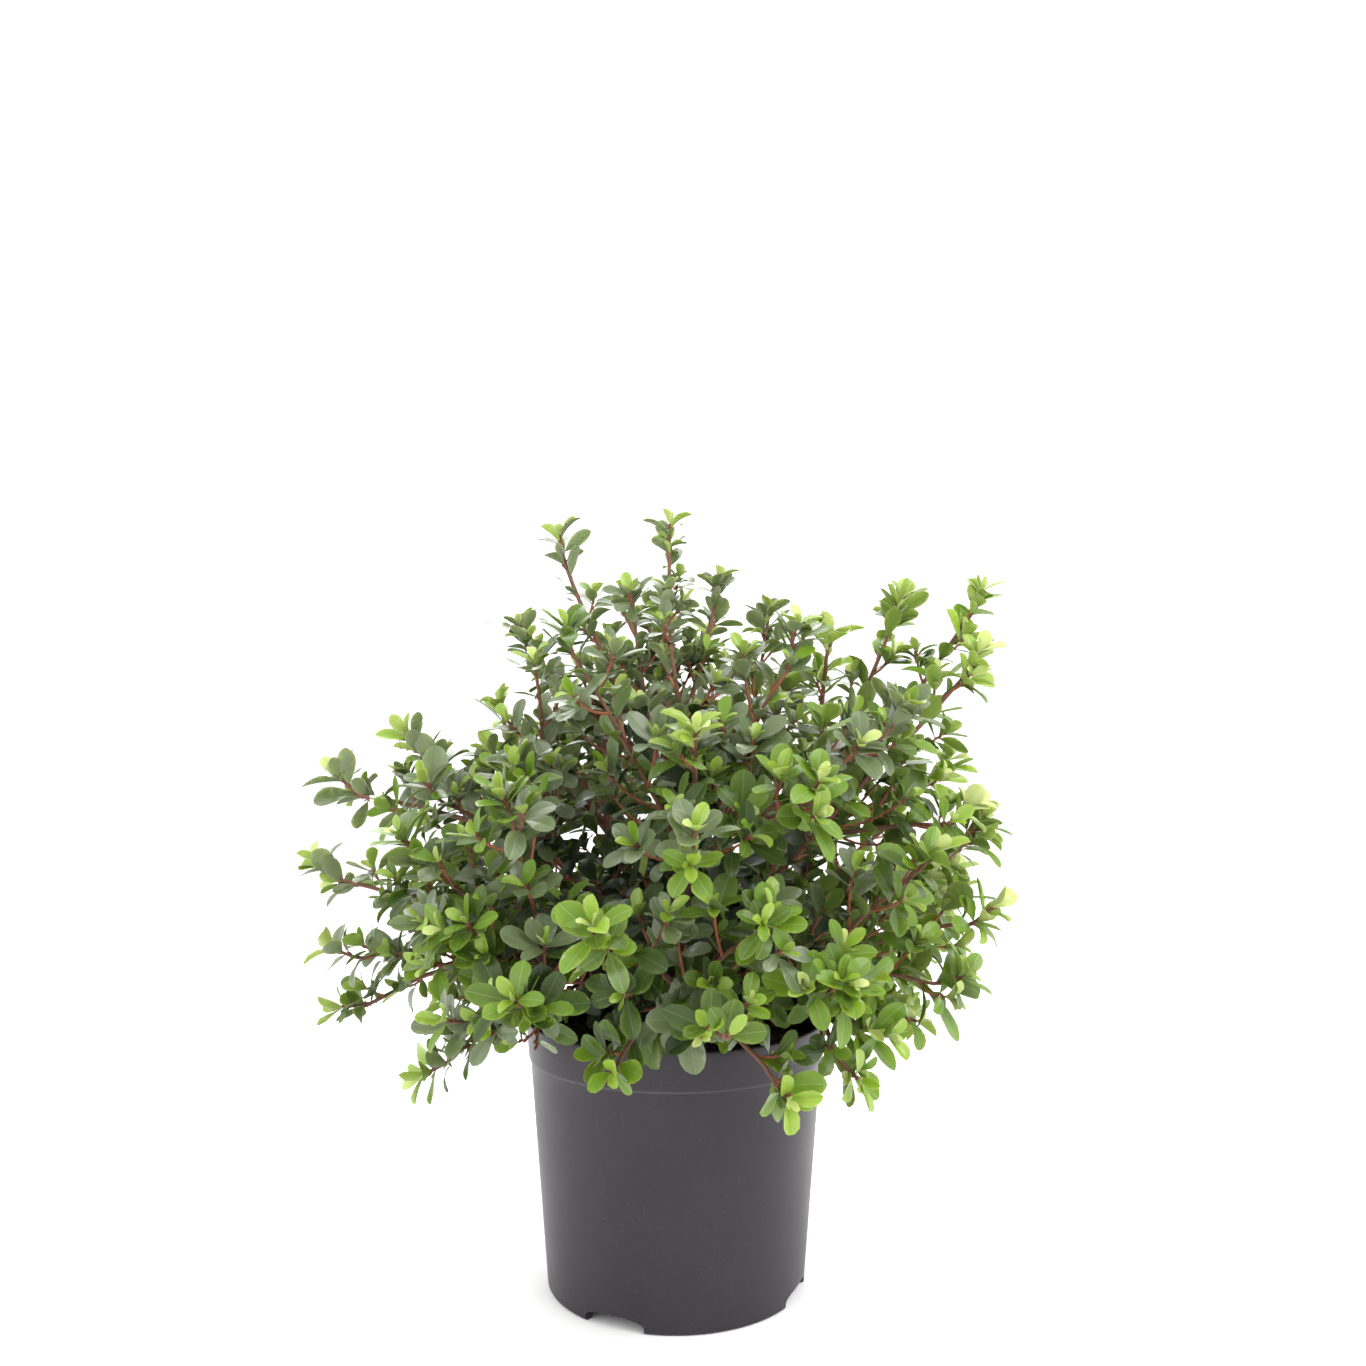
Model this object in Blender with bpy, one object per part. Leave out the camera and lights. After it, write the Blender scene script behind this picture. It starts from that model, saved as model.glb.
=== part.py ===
"""A young red escallonia shrub in its plastic nursery pot.

Metres, +Z up, the origin at the centre of the pot's flat underside. An azimuth is measured round the pot from the
front (-Y) towards +X, and a rise is measured up from level, both in degrees.
"""

import math
import random
from collections import namedtuple

import bmesh
import bpy
from mathutils import Quaternion, Vector, noise
from mathutils.bvhtree import BVHTree

# Touching pieces are parted by this much.
GAP = 0.0003

# Nursery pot
POT_HEIGHT = 0.150
POT_RIM_RADIUS = 0.085
POT_BASE_RADIUS = 0.0725
POT_WALL = 0.0018
POT_FLOOR = 0.0025
POT_FOOT_ROUND = 0.0015
POT_LIP_ROUND = 0.0006
RIM_BAND_HEIGHT = 0.0215
RIM_BAND_STEP = 0.0010
POT_SEGMENTS = 52

# Drainage notches between the pot's feet
NOTCH_HEIGHT = 0.0075
NOTCH_END_SHARE = 0.45
NOTCH_WIDTH = 28.0
NOTCH_DEPTH = 0.012
NOTCH_STEPS = 8
NOTCH_AZIMUTHS = (-27.0, 69.0, 153.0, 237.0)

# Potting soil
SOIL_TOP = 0.1320
SOIL_LUMP = 0.0030
SOIL_LUMP_SIZE = 0.016
SOIL_LUMP_SEED = 0.37
SOIL_LEVEL_RADIUS = 0.020
SOIL_ROWS = (0.93, 0.78, 0.60, 0.42, 0.24)
SOIL_SEGMENTS = 32

# Short main stem: a lobed root flare, a neck, and a round head that the boughs leave
HUB = Vector((0.0, 0.0, 0.168))
HUB_RADIUS = 0.011
HEAD_RISES = (-18.0, 8.0, 34.0, 60.0, 80.0)
STEM_FOOT = SOIL_TOP + GAP
# Radius, height over the foot, and how far the root lobes show there
STEM_OUTLINE = ((0.0125, 0.0, 1.0), (0.0108, 0.0025, 0.9), (0.0087, 0.0070, 0.5), (0.0078, 0.0140, 0.2), (0.0083, 0.0280, 0.1))
ROOT_LOBES = 5
ROOT_LOBE_SHARE = 0.16
ROOT_LOBE_TURN = 0.7
STEM_SIDES = 20

# Boughs from the head to where each enters its mass of foliage
BOUGH_BASE_RADIUS = 0.0028
BOUGH_TIP_RADIUS = 0.0017
BOUGH_SHARE = 0.40
BOUGH_BOW = 0.035
BOUGH_POINTS = 6
BOUGH_SIDES = 7

# Masses of foliage: the azimuth and rise of the bough that carries each
MASSES = {
    "top": (250.0, 86.0),
    "upper_front": (8.0, 48.0),
    "upper_right": (84.0, 47.0),
    "upper_back_right": (152.0, 48.0),
    "upper_back_left": (216.0, 48.0),
    "upper_left": (284.0, 46.0),
    "low_front": (2.0, 9.0),
    "low_front_right": (45.0, 9.0),
    "low_right": (88.0, 9.0),
    "low_back_right": (133.0, 9.0),
    "low_back": (179.0, 9.0),
    "low_back_left": (226.0, 9.0),
    "low_left": (272.0, 9.0),
    "low_front_left": (317.0, 9.0),
}
CELL_MARGIN = 0.00025

# Crown: how far its leaves reach from the hub, level and straight up
LEVEL_REACH = 0.176
TOP_REACH = 0.246
REACH_VARIATION = 0.07
LOWEST_RISE = -12.0
REGULAR_SHOOTS = 96
GOLDEN_ANGLE = 137.508

# Leading shoots, which make the crown's outline: azimuth, rise and reach
LEADERS = {
    "crown_tip": (196.0, 87.0, 0.272),
    "left_crown_tip": (264.0, 75.0, 0.272),
    "right_spire": (92.0, 51.0, 0.294),
    "right_inner_spire": (98.0, 58.0, 0.266),
    "right_crown": (110.0, 83.5, 0.240),
    "right_brow": (62.0, 63.0, 0.226),
    "right_arm": (80.0, 47.0, 0.260),
    "right_middle": (76.0, 31.5, 0.204),
    "right_low": (74.0, 14.0, 0.194),
    "right_lower": (48.0, -2.0, 0.152),
    "right_rosette": (46.0, 25.0, 0.205),
    "right_hanging": (36.0, -6.0, 0.164),
    "front_hanging": (20.0, -8.0, 0.160),
    "front_left_hanging": (348.0, -5.0, 0.144),
    "front_nose": (350.0, 17.0, 0.215),
    "front_brow": (4.0, 44.0, 0.218),
    "left_trailing": (296.0, -12.0, 0.160),
    "left_low": (270.0, -4.0, 0.200),
    "left_middle": (276.0, 5.5, 0.201),
    "left_arm": (268.0, 16.5, 0.227),
    "left_upper_arm": (272.0, 31.0, 0.234),
    "left_shoulder": (274.0, 42.0, 0.216),
    "left_crown": (265.0, 66.0, 0.232),
    "back_spire": (170.0, 58.0, 0.245),
    "back_arm": (205.0, 28.0, 0.222),
    "back_right_arm": (128.0, 24.0, 0.212),
    "left_spray": (272.0, 56.0, 0.196),
}
LEADER_SPACING = 11.0


# Places where the photograph shows sky: azimuth, rise, spread and the share of the crown's reach that is left
OPEN_PLACES = {
    "left_hollow": (262.0, 55.0, 30.0, 0.76),
    "left_front_hollow": (306.0, 46.0, 20.0, 0.84),
    "left_notch": (272.0, 24.0, 18.0, 0.72),
    "left_side": (278.0, 16.0, 36.0, 0.85),
    "top_saddle": (94.0, 66.0, 18.0, 0.86),
    "right_underside": (82.0, -11.0, 29.0, 0.80),
    "front_underside": (0.0, -14.0, 18.0, 0.62),
    "left_front_underside": (318.0, -14.0, 20.0, 0.86),
}
OPEN_PLACE_POWER = 3

# Twigs of a mass
MASS_STEM_LENGTH = 0.024
MASS_STEM_RADIUS = 0.0016
SHOOT_RADIUS = 0.0012
SHOOT_TIP_RADIUS = 0.0006
SHOOT_POINTS = 4
SHOOT_ARCH = 0.24
LEVEL_ARCH_RISE = 46.0
FORK_LOW = 0.35
FORK_HIGH = 0.95
TURN_IN_SHARE = 0.06
TURN_IN_TRIES = 24
TWIG_SIDES = 3

# Leaves, larger than life. The outline is (share of the length, share of the half width, raised or lowered).
LEAF_LENGTH = 0.037
LEAF_WIDTH = 0.022
LEAF_THICKNESS = 0.0008
LEAF_OUTLINE = ((0.0, 0.0, 1), (0.48, -1.0, -1), (0.82, -0.74, 1), (1.0, 0.0, -1), (0.82, 0.74, 1), (0.48, 1.0, -1))
LEAF_FACES = ((0, 4, 2), (0, 2, 1), (2, 4, 3), (4, 0, 5), (1, 3, 5), (0, 1, 5), (1, 2, 3), (3, 4, 5))
TIP_LEAF_REACH = 0.026
LEAF_SPACING = 0.0165
LEAVES_FROM = 0.16
LEAVES_TO = 0.985
LEAST_LEAVES = 3
LEAF_LEAN_LOW = 62.0
LEAF_LEAN_HIGH = 24.0
TIP_LEAF_LEAN = 8.0
LEAF_LEAN_VARIATION = 8.0
LIGHT_SHARE = 0.55
LEAST_FACE = 0.1
LEAF_TRIES = 9
LEAF_TRY_TURN = 40.0
SEED = 4100

POT_GREY = (0.070, 0.064, 0.072)
SOIL_BROWN = (0.035, 0.024, 0.016)
BARK_BROWN = (0.120, 0.058, 0.038)
TWIG_RED = (0.230, 0.050, 0.030)
LEAF_GREEN = (0.075, 0.190, 0.028)

Shoot = namedtuple("Shoot", "number mass way reach")
LeafSpot = namedtuple("LeafSpot", "root stem turn lean")


def clear_scene():
    for obj in list(bpy.data.objects):
        bpy.data.objects.remove(obj, do_unlink=True)


def material(name, colour, roughness):
    made = bpy.data.materials.new(name)
    made.use_nodes = True
    made.diffuse_color = (*colour, 1.0)
    shader = made.node_tree.nodes["Principled BSDF"]
    shader.inputs["Base Color"].default_value = (*colour, 1.0)
    shader.inputs["Roughness"].default_value = roughness
    shader.inputs["Metallic"].default_value = 0.0
    return made


def mesh_object(name, points, faces, finish, collection=None):
    mesh = bpy.data.meshes.new(name)
    mesh.from_pydata([tuple(point) for point in points], [], faces)
    mesh.materials.append(finish)
    obj = bpy.data.objects.new(name, mesh)
    (collection or bpy.context.scene.collection).objects.link(obj)
    return obj


def shade(obj, sharp_angle):
    obj.data.shade_smooth()
    obj.data.set_sharp_from_angle(angle=math.radians(sharp_angle))


def apply_modifier(obj, modifier):
    with bpy.context.temp_override(object=obj, active_object=obj, selected_objects=[obj]):
        bpy.ops.object.modifier_apply(modifier=modifier.name)


def direction(azimuth, rise):
    turn = math.radians(azimuth)
    lift = math.radians(rise)
    level = math.cos(lift)
    return Vector((math.sin(turn) * level, -math.cos(turn) * level, math.sin(lift)))


def skin(rings):
    """Points and faces of a closed skin over rings of equal length, with a flat cap on the first and the last."""
    sides = len(rings[0])
    points = [point for ring in rings for point in ring]
    faces = [tuple(reversed(range(sides)))]
    for row in range(len(rings) - 1):
        for side in range(sides):
            low = row * sides
            high = low + sides
            following = (side + 1) % sides
            faces.append((low + side, low + following, high + following, high + side))
    last = (len(rings) - 1) * sides
    faces.append(tuple(last + side for side in range(sides)))
    return points, faces


def level_ring(radius_at, height_at, segments):
    """A ring round the Z axis whose radius and height follow the angle."""
    ring = []
    for step in range(segments):
        angle = math.tau * step / segments
        radius = radius_at(angle)
        ring.append(Vector((radius * math.cos(angle), radius * math.sin(angle), height_at(angle))))
    return ring


def round_ring(radius, height, segments):
    return level_ring(lambda angle: radius, lambda angle: height, segments)


def outer_radius(height):
    """The pot's outer wall below its rim band."""
    top_radius = POT_RIM_RADIUS - RIM_BAND_STEP
    return POT_BASE_RADIUS + (top_radius - POT_BASE_RADIUS) * height / POT_HEIGHT


def make_pot(finish):
    """The pot, turned from its foot up the outside, over the lip and down the inside to its floor."""
    band_low = POT_HEIGHT - RIM_BAND_HEIGHT
    outline = (
        (POT_BASE_RADIUS - POT_FOOT_ROUND, 0.0),
        (outer_radius(POT_FOOT_ROUND), POT_FOOT_ROUND),
        (outer_radius(band_low), band_low),
        (outer_radius(band_low) + RIM_BAND_STEP, band_low + RIM_BAND_STEP),
        (POT_RIM_RADIUS, POT_HEIGHT - POT_LIP_ROUND),
        (POT_RIM_RADIUS - POT_LIP_ROUND, POT_HEIGHT),
        (POT_RIM_RADIUS - POT_WALL, POT_HEIGHT),
        (outer_radius(POT_FLOOR) - POT_WALL, POT_FLOOR),
    )
    rings = [round_ring(radius, height, POT_SEGMENTS) for radius, height in outline]
    pot = mesh_object("pot", *skin(rings), finish)
    for azimuth in NOTCH_AZIMUTHS:
        cut_notch(pot, azimuth, finish)
    shade(pot, 35.0)
    return pot


def cut_notch(pot, azimuth, finish):
    """Cuts an arched wedge out of the base's edge, through the wall and the floor."""
    inner = POT_BASE_RADIUS - NOTCH_DEPTH
    outer = POT_BASE_RADIUS + NOTCH_DEPTH
    low = Vector((0.0, 0.0, -NOTCH_HEIGHT))
    rings = []
    for step in range(NOTCH_STEPS + 1):
        share = step / NOTCH_STEPS
        out = direction(azimuth + NOTCH_WIDTH * (share - 0.5), 0.0)
        arch = NOTCH_END_SHARE + (1.0 - NOTCH_END_SHARE) * math.sqrt(math.sin(math.pi * share))
        high = Vector((0.0, 0.0, NOTCH_HEIGHT * arch))
        rings.append((out * inner + low, out * inner + high, out * outer + high, out * outer + low))
    cutter = mesh_object("notch_cutter", *skin(rings), finish)
    cut = pot.modifiers.new("notch", "BOOLEAN")
    cut.operation = "DIFFERENCE"
    cut.object = cutter
    apply_modifier(pot, cut)
    bpy.data.objects.remove(cutter, do_unlink=True)


def soil_height(radius, angle):
    """The soil's loose surface, level round the stem's foot."""
    spread = min(1.0, max(0.0, radius / SOIL_LEVEL_RADIUS - 1.0))
    place = Vector((radius * math.cos(angle), radius * math.sin(angle), SOIL_LUMP_SEED))
    return SOIL_TOP + SOIL_LUMP * spread * noise.noise(place / SOIL_LUMP_SIZE)


def make_soil(finish):
    """The plug of potting soil that fills the pot."""
    low = POT_FLOOR + GAP
    low_radius = outer_radius(low) - POT_WALL - 2 * GAP
    top_radius = outer_radius(SOIL_TOP) - POT_WALL - 2 * GAP
    rings = [
        round_ring(low_radius, low, SOIL_SEGMENTS),
        round_ring(top_radius, SOIL_TOP - SOIL_LUMP, SOIL_SEGMENTS),
    ]
    for row in SOIL_ROWS:
        radius = top_radius * row
        rings.append(level_ring(lambda angle: radius, lambda angle: soil_height(radius, angle), SOIL_SEGMENTS))
    soil = mesh_object("potting_soil", *skin(rings), finish)
    shade(soil, 50.0)
    return soil


def lobed(radius, lobes, angle):
    return radius * (1.0 + lobes * ROOT_LOBE_SHARE * math.cos(ROOT_LOBES * angle + ROOT_LOBE_TURN))


def make_main_stem(finish):
    """The short stem from a flat cut at the soil to the top of its head."""
    outline = [(radius, STEM_FOOT + over, lobes) for radius, over, lobes in STEM_OUTLINE]
    for rise in HEAD_RISES:
        lift = math.radians(rise)
        outline.append((HUB_RADIUS * math.cos(lift), HUB.z + HUB_RADIUS * math.sin(lift), 0.0))
    rings = []
    for radius, height, lobes in outline:
        rings.append(level_ring(lambda angle: lobed(radius, lobes, angle), lambda angle: height, STEM_SIDES))
    stem = mesh_object("main_stem", *skin(rings), finish)
    shade(stem, 35.0)
    return stem


def limb(path, base_radius, tip_radius, sides, spin=0.0):
    """Rings of a tapering limb along a path, kept from twisting by carrying one side vector along it."""
    last = len(path) - 1
    side = (path[1] - path[0]).orthogonal()
    rings = []
    for index, point in enumerate(path):
        along = (path[min(index + 1, last)] - path[max(index - 1, 0)]).normalized()
        side = (side - along * side.dot(along)).normalized()
        radius = base_radius + (tip_radius - base_radius) * index / last
        turns = [Quaternion(along, spin + math.tau * step / sides) for step in range(sides)]
        rings.append([point + turn @ side * radius for turn in turns])
    return rings


def curve(start, bend, end, count):
    """Points of the quadratic curve from start to end that leaves towards bend."""
    points = []
    for index in range(count):
        t = index / (count - 1)
        points.append(start * (1 - t) ** 2 + bend * (2 * t * (1 - t)) + end * t**2)
    return points


def crown_reach(rise):
    return LEVEL_REACH + (TOP_REACH - LEVEL_REACH) * max(0.0, math.sin(math.radians(rise)))


def bough_end(mass):
    """How far from the hub a mass's bough ends."""
    return crown_reach(MASSES[mass][1]) * BOUGH_SHARE


def make_bough(number, mass, finish):
    """A bough from the stem's head to its mass, bowed a little to one side."""
    axis = direction(*MASSES[mass])
    start = HUB + axis * (HUB_RADIUS + GAP)
    end = HUB + axis * bough_end(mass)
    aside = axis.cross(Vector((0.0, 0.0, 1.0))).normalized() * bough_end(mass) * BOUGH_BOW
    bend = (start + end) / 2 + (aside if number % 2 else -aside)
    path = curve(start, bend, end, BOUGH_POINTS)
    rings = limb(path, BOUGH_BASE_RADIUS, BOUGH_TIP_RADIUS, BOUGH_SIDES)
    bough = mesh_object("bough_" + mass, *skin(rings), finish)
    shade(bough, 60.0)
    return bough


def nearest_mass(way):
    return max(MASSES, key=lambda mass: way.dot(direction(*MASSES[mass])))


def opened(way):
    """The share of the reach that is left in one direction by the crown's open places."""
    share = 1.0
    for azimuth, rise, spread, left in OPEN_PLACES.values():
        apart = math.degrees(way.angle(direction(azimuth, rise)))
        if apart < spread:
            share = min(share, left + (1.0 - left) * (apart / spread) ** OPEN_PLACE_POWER)
    return share


def crown_shoots():
    """Every leafy shoot: the leaders, then the rest of the crown spread by the golden angle between them."""
    shoots = []
    for azimuth, rise, reach in LEADERS.values():
        way = direction(azimuth, rise)
        shoots.append(Shoot(len(shoots), nearest_mass(way), way, reach))
    leaders = [shoot.way for shoot in shoots]
    lowest = math.sin(math.radians(LOWEST_RISE))
    for index in range(REGULAR_SHOOTS):
        rise = math.degrees(math.asin(lowest + (1.0 - lowest) * (index + 0.5) / REGULAR_SHOOTS))
        way = direction(index * GOLDEN_ANGLE, rise)
        if min(way.angle(leader) for leader in leaders) < math.radians(LEADER_SPACING):
            continue
        variation = random.Random(SEED + index).uniform(-REACH_VARIATION, REACH_VARIATION)
        reach = crown_reach(rise) * (1.0 + variation) * opened(way)
        shoots.append(Shoot(len(shoots), nearest_mass(way), way, reach))
    return shoots


def cell_planes(mass):
    """Unit normals of the planes through the hub that part this mass's space from the others'."""
    own = direction(*MASSES[mass])
    return [(own - direction(*MASSES[other])).normalized() for other in MASSES if other != mass]


def in_cell(points, planes, margin):
    return all((point - HUB).dot(plane) > margin for point in points for plane in planes)


def shoot_path(shoot, planes):
    """A shoot from its mass's stem to its tip: low shoots arch over and hang, high ones turn up."""
    axis = direction(*MASSES[shoot.mass])
    fork = random.Random(SEED - shoot.number).uniform(FORK_LOW, FORK_HIGH)
    start = HUB + axis * (bough_end(shoot.mass) + GAP + MASS_STEM_LENGTH * fork)
    rise = math.degrees(math.asin(shoot.way.z))
    way = shoot.way
    for _ in range(TURN_IN_TRIES):
        tip = HUB + way * (shoot.reach - TIP_LEAF_REACH)
        arch = SHOOT_ARCH * (tip - start).length * (LEVEL_ARCH_RISE - rise) / 90.0
        bend = (start + tip) / 2 + Vector((0.0, 0.0, arch))
        path = curve(start, bend, tip, SHOOT_POINTS)
        if in_cell(path, planes, SHOOT_RADIUS + 2 * CELL_MARGIN):
            break
        way = way.lerp(axis, TURN_IN_SHARE).normalized()
    return path


def leaf_points(root, along, face):
    """Six corners round a leaf, rounder towards its tip, every other one raised, so that their hull is a thin leaf."""
    across = along.cross(face).normalized()
    up = across.cross(along).normalized()
    points = []
    for reach, side, lift in LEAF_OUTLINE:
        aside = across * (side * LEAF_WIDTH / 2)
        points.append(root + along * (reach * LEAF_LENGTH) + aside + up * (lift * LEAF_THICKNESS / 2))
    return points


def leaf_spots(shoot, path):
    """Where the leaves leave a shoot: turned by the golden angle, and leaning in towards its tip."""
    rng = random.Random(SEED + 1000 * (shoot.number + 1))
    length = sum((after - before).length for before, after in zip(path, path[1:]))
    count = max(LEAST_LEAVES, round(length * (1.0 - LEAVES_FROM) / LEAF_SPACING))
    turn = rng.uniform(0.0, 360.0)
    spots = []
    for number in range(count + 1):
        upward = number / count
        place = (LEAVES_FROM + (LEAVES_TO - LEAVES_FROM) * upward) * (len(path) - 1)
        row = int(place)
        root = path[row].lerp(path[row + 1], place - row)
        stem = (path[row + 1] - path[row]).normalized()
        lean = LEAF_LEAN_LOW + (LEAF_LEAN_HIGH - LEAF_LEAN_LOW) * upward**2
        lean = TIP_LEAF_LEAN if number == count else lean
        turn += GOLDEN_ANGLE
        spots.append(LeafSpot(root, stem, turn, lean + rng.uniform(-LEAF_LEAN_VARIATION, LEAF_LEAN_VARIATION)))
    return spots


def place_leaf(spot, planes, obstacles):
    """A leaf's corners at the first turn round its twig at which it keeps to its space and clear, or None."""
    side = spot.stem.orthogonal().normalized()
    lean = math.radians(spot.lean)
    light = ((spot.root - HUB).normalized() + Vector((0.0, 0.0, 1.0))) / 2
    for attempt in range(LEAF_TRIES):
        out = Quaternion(spot.stem, math.radians(spot.turn + attempt * LEAF_TRY_TURN)) @ side
        along = (spot.stem * math.cos(lean) + out * math.sin(lean)).normalized()
        face = spot.stem.lerp(light, LIGHT_SHARE)
        face -= along * face.dot(along)
        if face.length < LEAST_FACE:
            continue
        corners = leaf_points(spot.root, along, face.normalized())
        if not in_cell(corners, planes, CELL_MARGIN):
            continue
        tree = BVHTree.FromPolygons(corners, LEAF_FACES, epsilon=GAP)
        if not any(tree.overlap(other) for other in obstacles):
            return corners
    return None


def keep_outer_shell(obj):
    """Drops scraps that stand loose and the skins of sealed hollows: the shell with the most faces stays."""
    shape = bmesh.new()
    shape.from_mesh(obj.data)
    left = set(shape.faces)
    shells = []
    while left:
        queue = [left.pop()]
        shell = []
        while queue:
            face = queue.pop()
            shell.append(face)
            for edge in face.edges:
                linked = left.intersection(edge.link_faces)
                left -= linked
                queue += linked
        shells.append(shell)
    shells.sort(key=len)
    for shell in shells[:-1]:
        bmesh.ops.delete(shape, geom=shell, context="FACES")
    shape.to_mesh(obj.data)
    shape.free()


def fuse(obj, parts):
    """Joins a collection's objects to one object by a union, and removes them."""
    union = obj.modifiers.new("fuse", "BOOLEAN")
    union.operation = "UNION"
    union.operand_type = "COLLECTION"
    union.collection = parts
    apply_modifier(obj, union)
    for part in list(parts.objects):
        bpy.data.objects.remove(part, do_unlink=True)
    bpy.data.collections.remove(parts)
    keep_outer_shell(obj)


def make_mass(mass, shoots, limbs, leaf_finish, twig_finish):
    """One mass of foliage: a stem that carries on from its bough, leafy shoots that fork from it, and their leaves."""
    planes = cell_planes(mass)
    axis = direction(*MASSES[mass])
    start = HUB + axis * (bough_end(mass) + GAP)
    stem_rings = limb([start, start + axis * MASS_STEM_LENGTH], MASS_STEM_RADIUS, SHOOT_RADIUS, TWIG_SIDES)
    foliage = mesh_object("foliage_" + mass, *skin(stem_rings), twig_finish)
    parts = bpy.data.collections.new("parts_of_" + mass)
    bpy.context.scene.collection.children.link(parts)
    paths = [shoot_path(shoot, planes) for shoot in shoots]
    twigs = []
    for shoot, path in zip(shoots, paths):
        points, faces = skin(limb(path, SHOOT_RADIUS, SHOOT_TIP_RADIUS, TWIG_SIDES, spin=shoot.number))
        mesh_object("twig", points, faces, twig_finish, parts)
        twigs.append(BVHTree.FromPolygons(points, faces, epsilon=GAP))
    leaves = []
    for shoot, path, own_twig in zip(shoots, paths, twigs):
        other_twigs = [twig for twig in twigs if twig is not own_twig]
        for spot in leaf_spots(shoot, path):
            corners = place_leaf(spot, planes, [limbs, *other_twigs, *leaves])
            if corners is not None:
                mesh_object("leaf", corners, LEAF_FACES, leaf_finish, parts)
                leaves.append(BVHTree.FromPolygons(corners, LEAF_FACES, epsilon=GAP))
    fuse(foliage, parts)


def tree_of(objects):
    """One search tree over the faces of several objects."""
    points = []
    faces = []
    for obj in objects:
        first = len(points)
        points += [vertex.co.copy() for vertex in obj.data.vertices]
        faces += [tuple(first + index for index in polygon.vertices) for polygon in obj.data.polygons]
    return BVHTree.FromPolygons(points, faces)


def main():
    clear_scene()
    bark = material("bark", BARK_BROWN, 0.75)
    twig = material("young_twig", TWIG_RED, 0.6)
    leaf = material("leaf", LEAF_GREEN, 0.35)
    fixed = [
        make_pot(material("pot_plastic", POT_GREY, 0.45)),
        make_soil(material("potting_soil", SOIL_BROWN, 0.95)),
        make_main_stem(bark),
    ]
    for number, mass in enumerate(MASSES):
        fixed.append(make_bough(number, mass, bark))
    limbs = tree_of(fixed)
    shoots = crown_shoots()
    for mass in MASSES:
        make_mass(mass, [shoot for shoot in shoots if shoot.mass == mass], limbs, leaf, twig)


main()
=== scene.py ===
"""The looks of a young escallonia shrub in its nursery pot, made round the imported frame.

Metres, +Z up, the origin at the centre of the pot's flat underside. An azimuth is measured round the pot
from the front (-Y) towards +X, and a rise is measured up from level, both in degrees.
"""

import math
import random
from collections import namedtuple

import bmesh
import bpy
import numpy as np
from mathutils import Matrix, Quaternion, Vector, noise


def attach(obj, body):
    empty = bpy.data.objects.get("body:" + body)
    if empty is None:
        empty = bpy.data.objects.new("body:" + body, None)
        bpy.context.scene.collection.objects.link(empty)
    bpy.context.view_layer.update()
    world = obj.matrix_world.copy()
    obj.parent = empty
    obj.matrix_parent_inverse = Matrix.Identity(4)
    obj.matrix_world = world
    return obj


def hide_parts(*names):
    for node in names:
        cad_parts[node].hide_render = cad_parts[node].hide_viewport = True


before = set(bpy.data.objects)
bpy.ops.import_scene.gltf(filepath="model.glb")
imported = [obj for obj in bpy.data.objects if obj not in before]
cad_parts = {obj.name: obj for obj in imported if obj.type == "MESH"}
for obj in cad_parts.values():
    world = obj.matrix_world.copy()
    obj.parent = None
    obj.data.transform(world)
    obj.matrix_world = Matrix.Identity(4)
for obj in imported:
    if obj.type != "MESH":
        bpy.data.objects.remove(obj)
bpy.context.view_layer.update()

SEED = 4100
UP = Vector((0.0, 0.0, 1.0))
GAP = 0.0003
GOLDEN_ANGLE = 137.508
NEARLY_ALL = 0.9999

# Camera, fitted to the photograph by the pot's rim line and foot
CAMERA_PLACE = Vector((0.004, -0.779, 0.338))
CAMERA_LENS = 36.0
SENSOR_WIDTH = 36.0

# Light: the place, size and power of each lamp, and the strength of the white surround
LAMPS = {
    "key": ((0.85, -0.75, 1.25), 0.9, 17.0),
    "fill": ((-1.1, -0.8, 0.7), 1.0, 6.0),
    "back": ((-0.2, 1.1, 1.3), 1.2, 20.0),
}
LAMP_TARGET = Vector((0.0, 0.0, 0.22))
SURROUND = 1.50
FLOOR_RADIUS = 30.0
FLOOR_DROP = 0.0002
FLOOR_SIDES = 64

# Nursery pot
POT_HEIGHT = 0.150
POT_RIM_RADIUS = 0.085
POT_BASE_RADIUS = 0.0725
POT_WALL = 0.0018
POT_FLOOR = 0.0025
POT_FOOT_ROUND = 0.0015
POT_RECESS = 0.0085
RECESS_ROUND = 0.0006
FOOT_RING = 0.0050
FOOT_RING_ROUND = 0.0008
RIM_BAND_HEIGHT = 0.0215
RIM_BAND_STEP = 0.0010
BAND_ROUND = 0.0009
BAND_LEDGE = 0.0007
INNER_ROUND = 0.002
INNER_STEP = 0.003
UNDERSIDE_RADII = (0.012, 0.040)
UNDER_BAND = 0.0012
POT_EDGE_ROUND = 0.00035
POT_EDGE_ANGLE = 50.0
POT_SEGMENTS = 240
WALL_STEPS = 13
BAND_STEPS = 5
NOTCH_HEIGHT = 0.0075
NOTCH_END_SHARE = 0.45
NOTCH_WIDTH = 28.0
NOTCH_DEPTH = 0.012
NOTCH_STEPS = 28
NOTCH_AZIMUTHS = (-27.0, 69.0, 153.0, 237.0)

# Potting soil
SOIL_TOP = 0.1320
SOIL_LUMP = 0.0030
SOIL_LUMP_SIZE = 0.016
SOIL_LUMP_SEED = 0.37
SOIL_LEVEL_RADIUS = 0.020
SOIL_FINE_RADIUS = 0.013
SOIL_GRAINS = ((0.0011, 0.0042, 1.0), (0.0006, 0.0017, 2.0))
SOIL_EDGE = 0.004
SOIL_SEGMENTS = 200
SOIL_ROWS = 45
SOIL_ROWS_FROM = 0.995
SOIL_ROWS_OVER = 0.93
CRUMBS = 520
CRUMB_SIZES = (0.0007, 0.0019)
CRUMB_SPREAD = (0.05, 0.93)
CRUMB_SQUEEZES = ((0.7, 1.0), (0.6, 0.9))
CRUMB_TILT = 0.5
CRUMB_UNEVEN = 0.22
CRUMB_LUMPS = 1.3
CRUMB_SEED_SCALE = 900.0
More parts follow.
